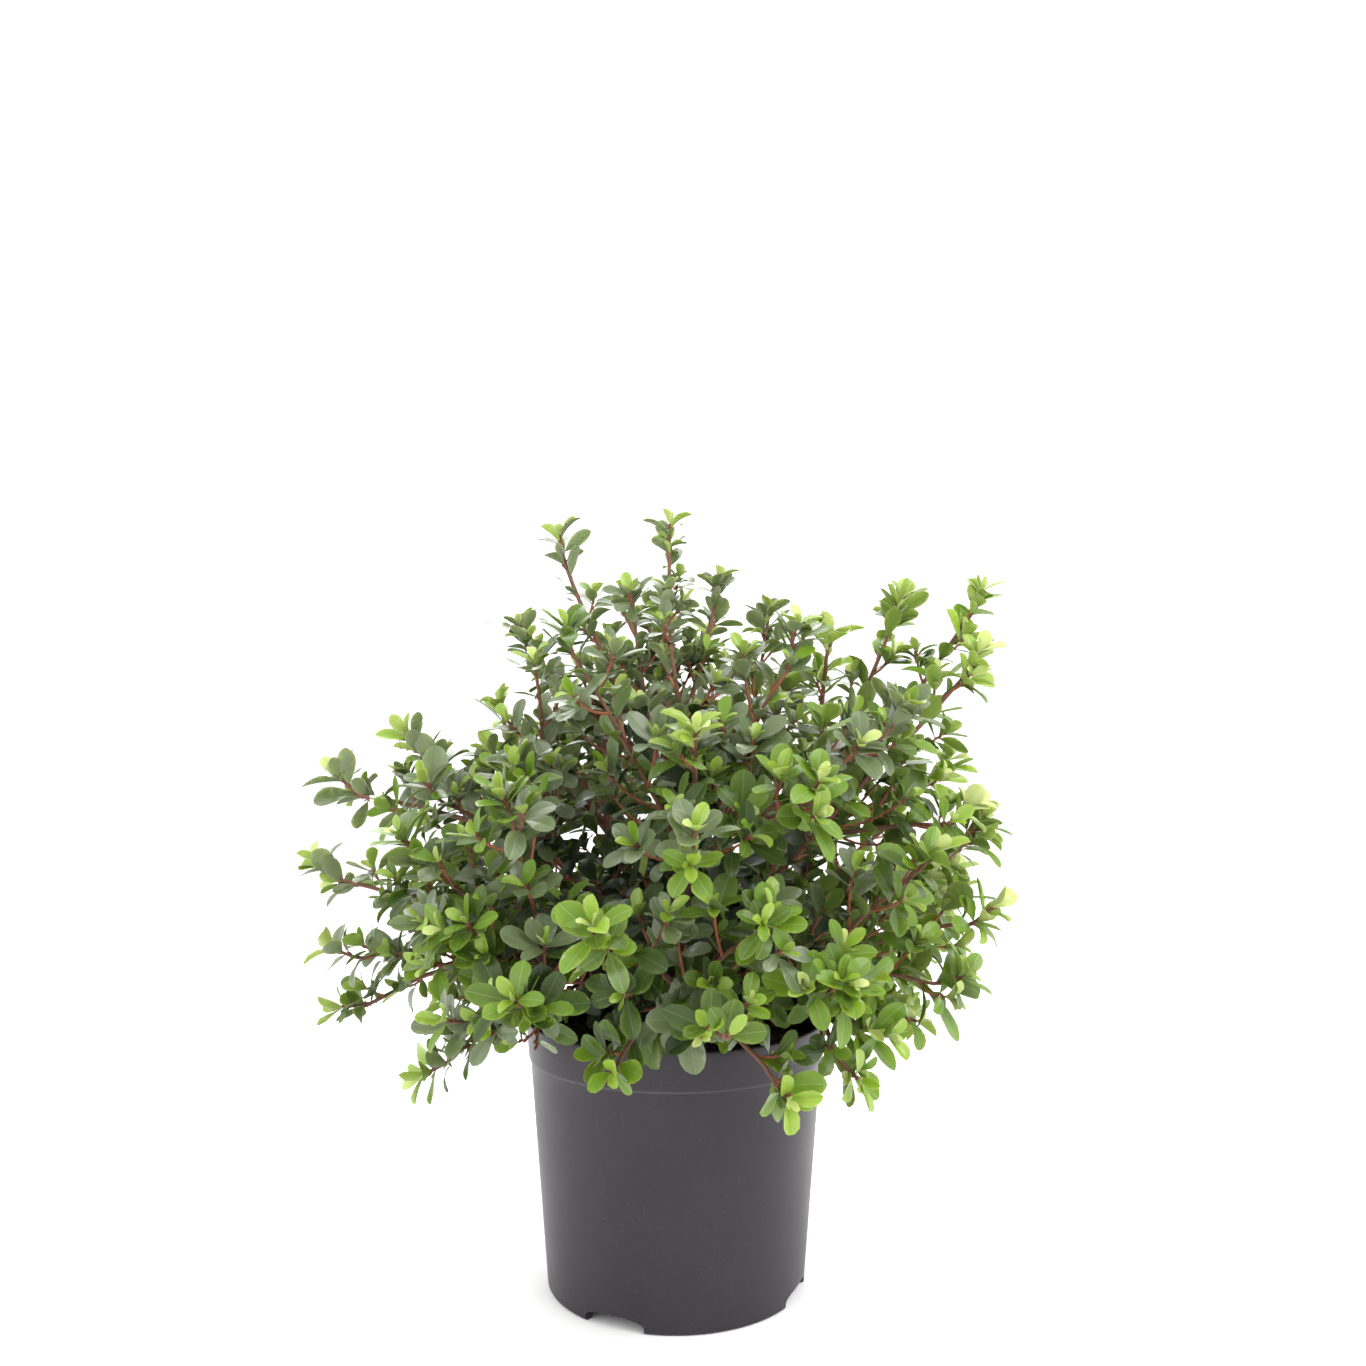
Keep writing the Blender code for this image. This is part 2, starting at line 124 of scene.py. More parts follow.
CRUMB_SUNK = 0.15
CHIP_SHARE = 0.3
CHIP_STRETCH = (2.4, 1.1, 0.45)

# Main stem and boughs; the stem's outline is radius, height over its foot and share of the root lobes
HUB = Vector((0.0, 0.0, 0.168))
HUB_RADIUS = 0.011
HEAD_RISES = (-18.0, 8.0, 34.0, 60.0, 80.0)
HEAD_SHARE = 0.92
STEM_FOOT = SOIL_TOP + GAP
STEM_OUTLINE = (
    (0.0125, 0.0, 1.0), (0.0108, 0.0025, 0.9), (0.0087, 0.0070, 0.5), (0.0078, 0.0140, 0.2),
    (0.0083, 0.0280, 0.1),
)
STEM_SIDES = 40
ROOT_LOBES = 5
ROOT_LOBE_SHARE = 0.16
ROOT_LOBE_TURN = 0.7
BOUGH_BASE_RADIUS = 0.0028
BOUGH_TIP_RADIUS = 0.0017
BOUGH_COLLAR = (1.5, 1.35, 1.12)
BOUGH_SHARE = 0.40
BOUGH_OVERLAP = 0.002
BOUGH_BOW = 0.035
BOUGH_POINTS = 12
BOUGH_SIDES = 14
BARK_FINENESS = 0.00062
RIDGE_ROUND = 900.0
RIDGE_ALONG = 170.0
RIDGE_HEIGHT = 0.06
RIDGE_DEEPEST = 0.006
RIDGE_FINER = 2.3
RIDGE_FINER_SHARE = 0.5
LEAST_DISTANCE = 1e-6

# Masses of foliage: the azimuth and rise of the bough that carries each
MASSES = {
    "top": (250.0, 86.0),
    "upper_front": (8.0, 48.0),
    "upper_right": (84.0, 47.0),
    "upper_back_right": (152.0, 48.0),
    "upper_back_left": (216.0, 48.0),
    "upper_left": (284.0, 46.0),
    "low_front": (2.0, 9.0),
    "low_front_right": (45.0, 9.0),
    "low_right": (88.0, 9.0),
    "low_back_right": (133.0, 9.0),
    "low_back": (179.0, 9.0),
    "low_back_left": (226.0, 9.0),
    "low_left": (272.0, 9.0),
    "low_front_left": (317.0, 9.0),
}
CELL_MARGIN = 0.00025

# Crown: how far its leaves reach from the hub, level and straight up
LEVEL_REACH = 0.176
TOP_REACH = 0.246
REACH_VARIATION = 0.07
LOWEST_RISE = -12.0
REGULAR_SHOOTS = 96

# Leading shoots, which make the crown's outline: azimuth, rise and reach
LEADERS = {
    "crown_tip": (196.0, 87.0, 0.272),
    "left_crown_tip": (264.0, 75.0, 0.272),
    "right_spire": (92.0, 51.0, 0.294),
    "right_inner_spire": (98.0, 58.0, 0.266),
    "right_crown": (110.0, 83.5, 0.240),
    "right_brow": (62.0, 63.0, 0.226),
    "right_arm": (80.0, 47.0, 0.260),
    "right_middle": (76.0, 31.5, 0.204),
    "right_low": (74.0, 14.0, 0.194),
    "right_lower": (48.0, -2.0, 0.152),
    "right_rosette": (46.0, 25.0, 0.205),
    "right_hanging": (36.0, -6.0, 0.164),
    "front_hanging": (20.0, -8.0, 0.160),
    "front_left_hanging": (348.0, -5.0, 0.144),
    "front_nose": (350.0, 17.0, 0.215),
    "front_brow": (4.0, 44.0, 0.218),
    "left_trailing": (296.0, -12.0, 0.160),
    "left_low": (270.0, -4.0, 0.200),
    "left_middle": (276.0, 5.5, 0.201),
    "left_arm": (268.0, 16.5, 0.227),
    "left_upper_arm": (272.0, 31.0, 0.234),
    "left_shoulder": (274.0, 42.0, 0.216),
    "left_crown": (265.0, 66.0, 0.232),
    "back_spire": (170.0, 58.0, 0.245),
    "back_arm": (205.0, 28.0, 0.222),
    "back_right_arm": (128.0, 24.0, 0.212),
    "left_spray": (272.0, 56.0, 0.196),
}
LEADER_SPACING = 11.0

# Places where the photograph shows sky: azimuth, rise, spread and the share of the reach that is left
OPEN_PLACES = {
    "left_hollow": (262.0, 55.0, 30.0, 0.76),
    "left_front_hollow": (306.0, 46.0, 20.0, 0.84),
    "left_notch": (272.0, 24.0, 18.0, 0.72),
    "left_side": (278.0, 16.0, 36.0, 0.85),
    "top_saddle": (94.0, 66.0, 18.0, 0.86),
    "right_underside": (82.0, -11.0, 29.0, 0.80),
    "front_underside": (0.0, -14.0, 18.0, 0.62),
    "left_front_underside": (318.0, -14.0, 20.0, 0.86),
}
OPEN_PLACE_POWER = 3

# Shoots of a mass, as the solids have them
MASS_STEM_LENGTH = 0.024
SHOOT_RADIUS = 0.0012
SHOOT_POINTS = 4
SHOOT_ARCH = 0.24
LEVEL_ARCH_RISE = 46.0
FORK_LOW = 0.35
FORK_HIGH = 0.95
TURN_IN_SHARE = 0.06
TURN_IN_TRIES = 24
TIP_LEAF_REACH = 0.026

# Finer paths of shoots and stems: young ends that turn up to the light, and a slight wander
MASS_STEM_SUNK = 0.004
MASS_STEM_STEPS = 4
FINE_SHOOT_POINTS = 14
FINE_TIP_REACH = 0.010
FINE_SHOOT_RADIUS = 0.00145
FINE_TIP_RADIUS = 0.00070
LEADER_STOUTNESS = 1.22
SHOOT_SIDES = 8
TIP_STEPS = 4
TIP_TURN = 0.34
TIP_LIFT = 0.9
TIP_LIFT_FROM = -0.12
TIP_LIFT_OVER = 0.3
SHOOT_WANDER = 0.0022
WANDER_APART = 1.7
WANDER_ALONG = 4.3
WANDER_LEVEL = 0.5
WANDER_SHIFTS = (Vector((0.0, 0.0, 0.0)), Vector((31.4, 7.7, 0.0)), Vector((0.0, 47.2, 19.6)))

# Side twigs, longest near a shoot's base, and the inner twigs on boughs and stems
SIDE_TWIG_SPACING = 0.0150
LEADER_TWIG_SPACING = 0.0185
SIDE_TWIGS_FROM = 0.05
SIDE_TWIGS_OVER = 0.87
SIDE_TWIG_STRAY = (0.2, 0.8)
SIDE_TWIG_LONG = 0.052
SIDE_TWIG_SHORT = 0.013
SIDE_TWIG_VIGOURS = (0.75, 1.2)
LEADER_TWIG_SHARE = 0.46
LEADER_TWIG_SHARE_RIGHT = 0.50
LEADER_TWIG_SHARE_FROM = 0.4
SIDE_TWIG_LEANS = (34.0, 60.0)
SIDE_TWIG_POINTS = 7
SIDE_TWIG_SIDES = 5
SIDE_TWIG_RADII = (0.00090, 0.00055)
SIDE_TWIG_LIFT = 0.55
LIGHT_FROM_ABOVE = 1.1
SIDE_TWIG_TRIES = 5
SIDE_TWIG_SHORTER = 0.72
INNER_TWIGS = 9
INNER_TWIGS_FROM = 0.22
INNER_TWIGS_OVER = 0.76
INNER_TWIG_LENGTHS = (0.022, 0.052)
INNER_TWIG_LEANS = (38.0, 95.0)
INNER_TRY_TURN = 50.0
LEAST_TWIG_POINTS = 4

# Room that the leaves and twigs keep: within the outline, off the pot, and over what hangs lowest
LEADER_SPREAD = 10.0
OUTLINE_VARIATION = 0.35
OUTLINE_ROOM = 0.75
TWIG_TIP_ROOM = 0.012
TWIG_END_ROOM = 0.003
LOWEST_LEAF = 0.140
LOWEST_HANGING_LEAF = 0.118
POT_CLEARANCE = 0.0016
OVER_RIM = POT_HEIGHT + POT_CLEARANCE
OUTSIDE_POT = POT_RIM_RADIUS + POT_CLEARANCE
INSIDE_POT = POT_RIM_RADIUS - 2 * POT_WALL - POT_CLEARANCE
OVER_SOIL = SOIL_TOP + SOIL_LUMP + POT_CLEARANCE

# What would hide the front of the rim, which the photograph shows, is left out
RIM_SEEN_FRONT = 0.78
RIM_SEEN_FROM = 0.5
RIM_SEEN_OVER = 0.002
RIM_SIGHT_SLOPE = 0.27

# Leaves at their real size, smaller towards the crown's top, less so on the right
LEAF_LENGTH = 0.0226
LEAF_WIDTH_SHARE = 0.51
LEAF_WIDTHS = (0.86, 1.12)
SMALLER_FROM = 0.29
SMALLER_OVER = 0.11
SMALLER_BY = 0.26
SMALLER_RIGHT = 0.6
TWIG_VIGOURS = (0.84, 1.08)
LEAF_TRIES = 4
LEAF_TRY_TURN = 55.0
LEAF_MIDDLE = 0.6
LEAST_FACE = 0.1
LEAF_FOLDS = (4.0, 18.0)
YOUNG_FOLD = 14.0
LEAF_ARCHES = (-14.0, 58.0)
LEAF_TWISTS = (-26.0, 26.0)

# Along a twig: how leaves stray from the golden angle and the even spacing, lean less and look younger
TURN_STRAY = 18.0
FIRST_NODE = (0.3, 1.0)
NODE_SPREAD = (0.75, 1.3)
LEAN_BY_SHARE = 14.0
LEAN_BY_UPRIGHT = 12.0
LEVEL_STRAY = (-0.70, 0.35)
LEVEL_BY_SHARE = 0.8
LEVEL_EVEN_SHARE = 0.65
FRESH_FROM_SHARE = 0.6
TUFT_LEAVES = (1, 3)
TUFT_SIZES = (0.28, 0.58)
TUFT_TURN = 55.0
TUFT_LEVELS = (0.0, 1.1)
TUFT_LEANS = (18.0, 58.0)
TIP_NODES = 4
TIP_NODE_SPACING = 0.0016

# In a rosette: its spread leaves, then its young ones
ROSETTE_STRAY = 14.0
ROSETTE_DEPTH = 0.0055
ROSETTE_LEAN = 74.0
ROSETTE_LEAN_BY_SHARE = 28.0
ROSETTE_LEAN_BY_UPRIGHT = 16.0
ROSETTE_LEAN_STRAY = 12.0
ROSETTE_SIZE = 1.04
ROSETTE_SIZE_BY_SHARE = 0.28
ROSETTE_SIZES = (0.78, 1.06)
ROSETTE_LEVEL_STRAY = 0.3
YOUNG_SIZE_STEP = 0.12
YOUNG_SIZES = (0.8, 1.12)
YOUNG_LEAN = 34.0
YOUNG_LEAN_STEP = 8.0
YOUNG_LEAN_STRAY = 7.0
YOUNG_LEVEL = 1.5
YOUNG_LEVEL_STEP = 0.45
YOUNG_LEVEL_STRAY = (-0.5, 0.3)
PLAIN_YOUNG_LEAVES = 2
# Rosettes on tips that hang low are painted darker, as shade: their leaves drop so many levels, their
# youngest more
HANGING_TIP = 0.165
HANGING_SHADE = 0.5
HANGING_YOUNG_SHADE = 0.9

# How a leaf is held: the light's share in where its face looks, and how far it rolls about its midrib
TUFT_HELD = (0.5, 30.0)
ROSETTE_HELD = (0.25, 20.0)
YOUNG_HELD = (0.1, 16.0)

# How light a spray looks, from 0, shaded and deep, to 5, pale, and what each way and the outline add to it:
# painted light and shade, lighter to the right, the sides, the back and the outline, darker at the front,
# the top and deep inside the crown
LEVEL = 2.02
LEVEL_RIGHT = 0.60
LEVEL_SIDES = 0.40
LEVEL_BACK = 0.50
LEVEL_TOP = -0.20
LEVEL_OUTLINE = 4.8
LEVEL_EVEN_OUT = 0.84
SPRAY_STRAY = (-0.9, 0.8)
# Grey-green sprays, dealt more to the left and the top: partly older leaves, partly painted sheen
GREY_SHARE = 0.16
GREY_RIGHT = -0.42
GREY_TOP = 0.85
GREY_LEVELS = (0.8, 3.4)

# How each sort of twig is dressed: node spacings at its base and tip, sizes and leans of its leaves and how
# they are held, how many axils hold a tuft, how many spread and young leaves close its tip, how much fresher
# its end and its rosette are, the level and size of its youngest leaves, the highest level that it may have,
# which keeps the inner twigs' leaves dark as painted shade, and the bare share at its base
Habit = namedtuple(
    "Habit", "spacings sizes leans held tufts rosette young fresher tip_fresher youngest largest most bare"
)
HABITS = {
    "long": Habit(
        (0.0118, 0.0088), (0.60, 1.22), (36.0, 84.0), (0.5, 50.0), 0.40, (2, 3), (3, 4),
        2.0, 0.7, 4.2, 0.84, 9.0, 0.10,
    ),
    "spray": Habit(
        (0.0094, 0.0062), (0.66, 1.12), (46.0, 82.0), (0.5, 30.0), 0.30, (3, 5), (2, 4),
        0.0, 0.2, 3.4, 0.68, 9.0, 0.10,
    ),
    # Inner twigs are held to the dark kinds: painted shade in the crown's middle
    "inner": Habit(
        (0.0072, 0.0056), (0.62, 1.00), (42.0, 88.0), (0.5, 40.0), 0.10, (3, 4), (0, 1),
        0.0, 0.2, 3.4, 0.68, 0.9, 0.08,
    ),
}

# Plain colours of the leaves' kinds, dealt out by spray: besides the paler young leaves, the darker kinds
# paint shade inside the crown, the lighter ones paint light at its right and outline, and grey partly paints
# sheen
LeafKind = namedtuple("LeafKind", "blade back rib roughness gloss")
LEAF_KINDS = {
    "shade": LeafKind((0.010, 0.018, 0.005), (0.020, 0.032, 0.010), (0.018, 0.028, 0.006), 0.42, 0.25),
    "deep": LeafKind((0.028, 0.050, 0.008), (0.058, 0.088, 0.026), (0.050, 0.075, 0.016), 0.36, 0.26),
    "grey": LeafKind((0.088, 0.123, 0.052), (0.150, 0.184, 0.096), (0.130, 0.162, 0.070), 0.33, 0.5),
    "green": LeafKind((0.058, 0.108, 0.011), (0.112, 0.164, 0.040), (0.096, 0.146, 0.026), 0.32, 0.28),
    "bright": LeafKind((0.104, 0.190, 0.014), (0.160, 0.238, 0.046), (0.156, 0.232, 0.038), 0.34, 0.30),
    "fresh": LeafKind((0.200, 0.312, 0.028), (0.265, 0.360, 0.078), (0.258, 0.345, 0.060), 0.37, 0.5),
    "pale": LeafKind((0.420, 0.510, 0.150), (0.460, 0.535, 0.200), (0.460, 0.520, 0.180), 0.42, 0.5),
}
KIND_ORDER = ("shade", "deep", "green", "bright", "fresh", "pale")
BACK_ROUGHER = 0.2
COAT_SHARE = 0.5
STALK_COLOUR = (0.230, 0.130, 0.045)
OLD_TWIG_COLOUR = (0.155, 0.068, 0.036)
YOUNG_TWIG_COLOUR = (0.285, 0.092, 0.038)
LEAF_BASE_COLOUR = (0.165, 0.058, 0.034)

# A leaf's rings, as shares of its length, and its section: share of the half width, raise in half
# thicknesses, and the skin that the next strip belongs to
BLADE, RIB, BACK, STALK = range(4)
BLADE_THICKNESS = 0.00032
RIB_SIDE = 0.1
RIB_HALF_WIDTH = 0.00026
RIB_WIDTH_SHARE = 0.4
STALK_RADIUS = 0.00042
STALK_SHARE = 0.08
LEAST_ARCH = 0.01
WAVE_HEIGHT = 0.05
WAVE_ALONG = 9.0
WAVE_ACROSS = 1.6
LeafMake = namedtuple("LeafMake", "rows section")
LEAF_MAKES = {
    "fine": LeafMake(
        (0.0, STALK_SHARE, 0.24, 0.43, 0.61, 0.77, 0.90, 0.975, 1.0),
        (
            (-1.0, 0.0, BLADE), (-0.52, 0.9, BLADE), (-0.03, 0.35, RIB), (0.03, 0.35, BLADE),
            (0.52, 0.9, BLADE), (1.0, 0.0, BACK), (0.0, -1.5, BACK),
        ),
    ),
    "plain": LeafMake(
        (0.0, STALK_SHARE, 0.30, 0.55, 0.79, 0.95, 1.0),
        (
            (-1.0, 0.0, BLADE), (-0.5, 0.8, BLADE), (0.0, 0.2, BLADE), (0.5, 0.8, BLADE),
            (1.0, 0.0, BACK), (0.0, -1.3, BACK),
        ),
    ),
    "small": LeafMake(
        (0.0, STALK_SHARE, 0.36, 0.67, 0.92, 1.0),
        ((-1.0, 0.0, BLADE), (0.0, 0.5, BLADE), (1.0, 0.0, BACK), (0.0, -1.2, BACK)),
    ),
}
FINE_OUTWARD = 0.68
PLAIN_OUTWARD = 0.5
SMALL_SIZE = 0.5
OUTLINE_BASE_POWER = 0.96
OUTLINE_TIP_POWER = 0.58
MOST_TRIANGLES = 190_000

# The angle, in degrees, under which a piece's edges are smooth
SMOOTH_UNDER = {
    "pot_shell": 32.0, "soil_plug": 40.0, "bark_skin": 180.0,
    "shoots": 50.0, "side_twigs": 50.0, "leaf_bases": 60.0,
}
LEAF_SMOOTH_UNDER = 62.0

# The wedge of a swollen leaf base: out, up and aside
KNOB = (
    (0.0, -0.0016, 0.9), (1.55, -0.0004, 0.45), (0.7, 0.0003, -0.9), (0.7, 0.0003, 0.9), (1.95, 0.0013, 0.0),
    (0.3, 0.0017, 0.0),
)
KNOB_WALLS = ((0, 1, 3), (0, 2, 1), (1, 4, 3), (1, 2, 4), (4, 5, 3), (4, 2, 5), (5, 0, 3), (5, 2, 0))
KNOB_OUT = 0.0008
KNOB_ASIDE = 0.00085
KNOB_SIZES = (0.8, 1.35)
KNOB_LEAST = 0.6
KNOB_TWIG_RADIUS = 0.0014

Shoot = namedtuple("Shoot", "number mass way reach")
Twig = namedtuple("Twig", "path radii sides")
Leaf = namedtuple("Leaf", "root along face length width fold arch twist wave kind make")


# Growth rule of the solids

def direction(azimuth, rise):
    turn = math.radians(azimuth)
    lift = math.radians(rise)
    level = math.cos(lift)
    return Vector((math.sin(turn) * level, -math.cos(turn) * level, math.sin(lift)))


def outer_radius(height):
    """The pot's outer wall below its rim band."""
    top_radius = POT_RIM_RADIUS - RIM_BAND_STEP
    return POT_BASE_RADIUS + (top_radius - POT_BASE_RADIUS) * height / POT_HEIGHT


def curve(start, bend, end, count):
    """Points of the quadratic curve from start to end that leaves towards bend."""
    shares = [index / (count - 1) for index in range(count)]
    return [start * (1 - t) ** 2 + bend * (2 * t * (1 - t)) + end * t**2 for t in shares]


def crown_reach(rise):
    return LEVEL_REACH + (TOP_REACH - LEVEL_REACH) * max(0.0, math.sin(math.radians(rise)))


def bough_end(mass):
    """How far from the hub a mass's bough ends."""
    return crown_reach(MASSES[mass][1]) * BOUGH_SHARE


def nearest_mass(way):
    return max(MASSES, key=lambda mass: way.dot(direction(*MASSES[mass])))


def opened(way):
    """The share of the reach that is left in one direction by the crown's open places."""
    share = 1.0
    for azimuth, rise, spread, left in OPEN_PLACES.values():
        apart = math.degrees(way.angle(direction(azimuth, rise)))
        if apart < spread:
            share = min(share, left + (1.0 - left) * (apart / spread) ** OPEN_PLACE_POWER)
    return share


def crown_shoots():
    """Every leafy shoot: the leaders, then the crown's others, spread by the golden angle between them."""
    shoots = []
    for azimuth, rise, reach in LEADERS.values():
        way = direction(azimuth, rise)
        shoots.append(Shoot(len(shoots), nearest_mass(way), way, reach))
    leaders = [shoot.way for shoot in shoots]
    lowest = math.sin(math.radians(LOWEST_RISE))
    for index in range(REGULAR_SHOOTS):
        rise = math.degrees(math.asin(lowest + (1.0 - lowest) * (index + 0.5) / REGULAR_SHOOTS))
        way = direction(index * GOLDEN_ANGLE, rise)
        if min(way.angle(leader) for leader in leaders) < math.radians(LEADER_SPACING):
            continue
        variation = random.Random(SEED + index).uniform(-REACH_VARIATION, REACH_VARIATION)
        reach = crown_reach(rise) * (1.0 + variation) * opened(way)
        shoots.append(Shoot(len(shoots), nearest_mass(way), way, reach))
    return shoots


def in_cell(points, mass, margin):
    """True if the points keep to a mass's space, within the planes through the hub between the masses."""
    own = direction(*MASSES[mass])
    planes = [(own - direction(*MASSES[other])).normalized() for other in MASSES if other != mass]
    return all((point - HUB).dot(plane) > margin for point in points for plane in planes)


def shoot_path(shoot):
    """A shoot from its mass's stem to its tip: low shoots arch over and hang, high ones turn up."""
    axis = direction(*MASSES[shoot.mass])
    fork = random.Random(SEED - shoot.number).uniform(FORK_LOW, FORK_HIGH)
    start = HUB + axis * (bough_end(shoot.mass) + GAP + MASS_STEM_LENGTH * fork)
    rise = math.degrees(math.asin(shoot.way.z))
    way = shoot.way
    for _ in range(TURN_IN_TRIES):
        tip = HUB + way * (shoot.reach - TIP_LEAF_REACH)
        arch = SHOOT_ARCH * (tip - start).length * (LEVEL_ARCH_RISE - rise) / 90.0
        bend = (start + tip) / 2 + UP * arch
        if in_cell(curve(start, bend, tip, SHOOT_POINTS), shoot.mass, SHOOT_RADIUS + 2 * CELL_MARGIN):
            break
        way = way.lerp(axis, TURN_IN_SHARE).normalized()
    return drawn_out(curve(start, bend, tip, FINE_SHOOT_POINTS), way)


def drawn_out(path, way):
    """A shoot's path with its young end, which turns up to the light as the tip leaf of the solid stands."""
    lift = TIP_LIFT * min(1.0, max(0.0, (way.z - TIP_LIFT_FROM) / TIP_LIFT_OVER))
    target = (way + UP * lift).normalized()
    along = (path[-1] - path[-2]).normalized()
    for _ in range(TIP_STEPS):
        along = along.lerp(target, TIP_TURN).normalized()
        path.append(path[-1] + along * ((TIP_LEAF_REACH - FINE_TIP_REACH) / TIP_STEPS))
    return path


# Finer twigs

def wandered(path, number):
    """A shoot's path that strays a little from itself between its two ends, as grown wood does."""
    moved = []
    for index, point in enumerate(path):
        t = index / (len(path) - 1)
        place = Vector((number * WANDER_APART, WANDER_ALONG * t + number, WANDER_LEVEL))
        stray = Vector([noise.noise(place + shift) for shift in WANDER_SHIFTS])
        moved.append(point + stray * (SHOOT_WANDER * math.sin(math.pi * t)))
    return moved


def allowed_reach(way):
    """How far from the hub the crown may reach one way: its dome, drawn out or in near each leader."""
    rise = math.degrees(math.asin(max(-1.0, min(1.0, way.z))))
    reach = crown_reach(rise) * (1.0 + OUTLINE_VARIATION * REACH_VARIATION) * (1.0 + min(0.0, way.z))
    reach *= opened(way)
    change = 0.0
    for azimuth, leader_rise, leader_reach in LEADERS.values():
        apart = math.degrees(way.angle(direction(azimuth, leader_rise)))
        if apart < LEADER_SPREAD:
            pull = (leader_reach - reach) * (1.0 - (apart / LEADER_SPREAD) ** 2)
            change = pull if abs(pull) > abs(change) else change
    return reach + change


def outwardness(place):
    """How far out in the crown a place is, 1 at its outline."""
    return (place - HUB).length / allowed_reach((place - HUB).normalized())


def clear_of_pot(points):
    """True if the points are all outside the pot, or all inside it over the soil, and clear of its wall."""
    sides = set()
    for point in points:
        if point.z > OVER_RIM:
            continue
        radius = math.hypot(point.x, point.y)
        if radius > OUTSIDE_POT:
            sides.add("outside")
        elif radius < INSIDE_POT and point.z > OVER_SOIL:
            sides.add("inside")
        else:
            return False
    return len(sides) < 2


def hides_rim(place):
    """True if something at a place would cover the front of the pot's rim."""
    out = math.hypot(place.x, place.y)
    if out <= RIM_SEEN_FROM * POT_RIM_RADIUS or -place.y <= RIM_SEEN_FRONT * out:
        return False
    return place.z < POT_HEIGHT + (RIM_SEEN_OVER + RIM_SIGHT_SLOPE * (-place.y - POT_RIM_RADIUS))


def path_length(path):
    return sum((after - before).length for before, after in zip(path, path[1:]))


def place_on(path, share):
    """The point and the direction of a path at a share of its points."""
    place = min(max(share, 0.0), NEARLY_ALL) * (len(path) - 1)
    row = int(place)
    stem = (path[row + 1] - path[row]).normalized()
    return path[row].lerp(path[row + 1], place - row), stem


def turned_out(stem, turn):
    """A way square to a stem, turned round it by so many degrees."""
    return Quaternion(stem, math.radians(turn)) @ stem.orthogonal().normalized()


def leaned(stem, out, lean):
    tilt = math.radians(lean)
    return stem * math.cos(tilt) + out * math.sin(tilt)


def side_twig(root, stem, turn, lean, length):
    """A side twig that leaves a shoot at an angle and turns up and out to the light, and its tip's tip."""
    along = leaned(stem, turned_out(stem, turn), lean)
    light = ((root - HUB).normalized() + UP * LIGHT_FROM_ABOVE).normalized()
    bend = root + along * (length / 2)
    tip = bend + along.lerp(light, SIDE_TWIG_LIFT).normalized() * (length / 2)
    twig = curve(root, bend, tip, SIDE_TWIG_POINTS)
    return twig, twig[-1] + (twig[-1] - twig[-2]).normalized() * TWIG_TIP_ROOM


def side_twigs(shoot, path):
    """The side twigs of a shoot, longest near its base, each kept within the crown and off the pot."""
    rng = random.Random(SEED + 37 * (shoot.number + 1))
    leader = shoot.number < len(LEADERS)
    lowest = LOWEST_HANGING_LEAF if leader and shoot.way.z < 0.0 else LOWEST_LEAF
    spacing = LEADER_TWIG_SPACING if leader else SIDE_TWIG_SPACING
    count = max(2, round(path_length(path) * SIDE_TWIGS_OVER / spacing))
    turn = rng.uniform(0.0, 360.0)
    twigs = []
    for number in range(count):
        upward = (number + rng.uniform(*SIDE_TWIG_STRAY)) / count
        root, stem = place_on(path, SIDE_TWIGS_FROM + SIDE_TWIGS_OVER * upward)
        turn += GOLDEN_ANGLE
        lean = rng.uniform(*SIDE_TWIG_LEANS)
        long = SIDE_TWIG_LONG + (SIDE_TWIG_SHORT - SIDE_TWIG_LONG) * upward
        long *= rng.uniform(*SIDE_TWIG_VIGOURS)
        if leader and upward > LEADER_TWIG_SHARE_FROM:
            long *= LEADER_TWIG_SHARE + LEADER_TWIG_SHARE_RIGHT * max(0.0, shoot.way.x)
        for _ in range(SIDE_TWIG_TRIES):
            twig, end = side_twig(root, stem, turn, lean, long)
            tip = twig[-1] - HUB
            inside = tip.length + OUTLINE_ROOM * TIP_LEAF_REACH < allowed_reach(tip.normalized())
            if inside and twig[-1].z > lowest + TWIG_TIP_ROOM and clear_of_pot(twig + [end]):
                twigs.append(twig)
                break
            long *= SIDE_TWIG_SHORTER
    return twigs


def inner_twigs(number, mass):
    """Short twigs on a bough and on the stem that goes on from it, which fill the crown's shaded middle."""
    rng = random.Random(SEED + 500 + number)
    path = bough_path(number, mass)
    path.append(HUB + direction(*MASSES[mass]) * (bough_end(mass) + MASS_STEM_LENGTH))
    turn = rng.uniform(0.0, 360.0)
    twigs = []
    for place in range(INNER_TWIGS):
        share = INNER_TWIGS_FROM + INNER_TWIGS_OVER * (place + rng.random()) / INNER_TWIGS
        root, stem = place_on(path, share)
        turn += GOLDEN_ANGLE
        long = rng.uniform(*INNER_TWIG_LENGTHS)
        for _ in range(SIDE_TWIG_TRIES):
            twig, end = side_twig(root, stem, turn, rng.uniform(*INNER_TWIG_LEANS), long)
            if end.z > SOIL_TOP + TWIG_TIP_ROOM and clear_of_pot(twig + [end]):
                twigs.append(twig)
                break
            long *= SIDE_TWIG_SHORTER
            turn += INNER_TRY_TURN
    return twigs


# Leaves on the twigs

def spray_level(place, rng):
    """How light a spray looks, as painted light and shade: lighter at the right and at the outline, darker
    deep in the crown.
    """
    way = (place - HUB).normalized()
    level = LEVEL + LEVEL_RIGHT * way.x + LEVEL_SIDES * abs(way.x) + LEVEL_BACK * way.y
    level += LEVEL_TOP * max(way.z, 0.0)
    level += LEVEL_OUTLINE * (min(outwardness(place), 1.0) - LEVEL_EVEN_OUT)
    return level + rng.uniform(*SPRAY_STRAY)


def kind_of(level, grey_and_sheen):
    if grey_and_sheen and GREY_LEVELS[0] < level < GREY_LEVELS[1]:
        return "grey"
    return KIND_ORDER[max(0, min(len(KIND_ORDER) - 1, round(level)))]


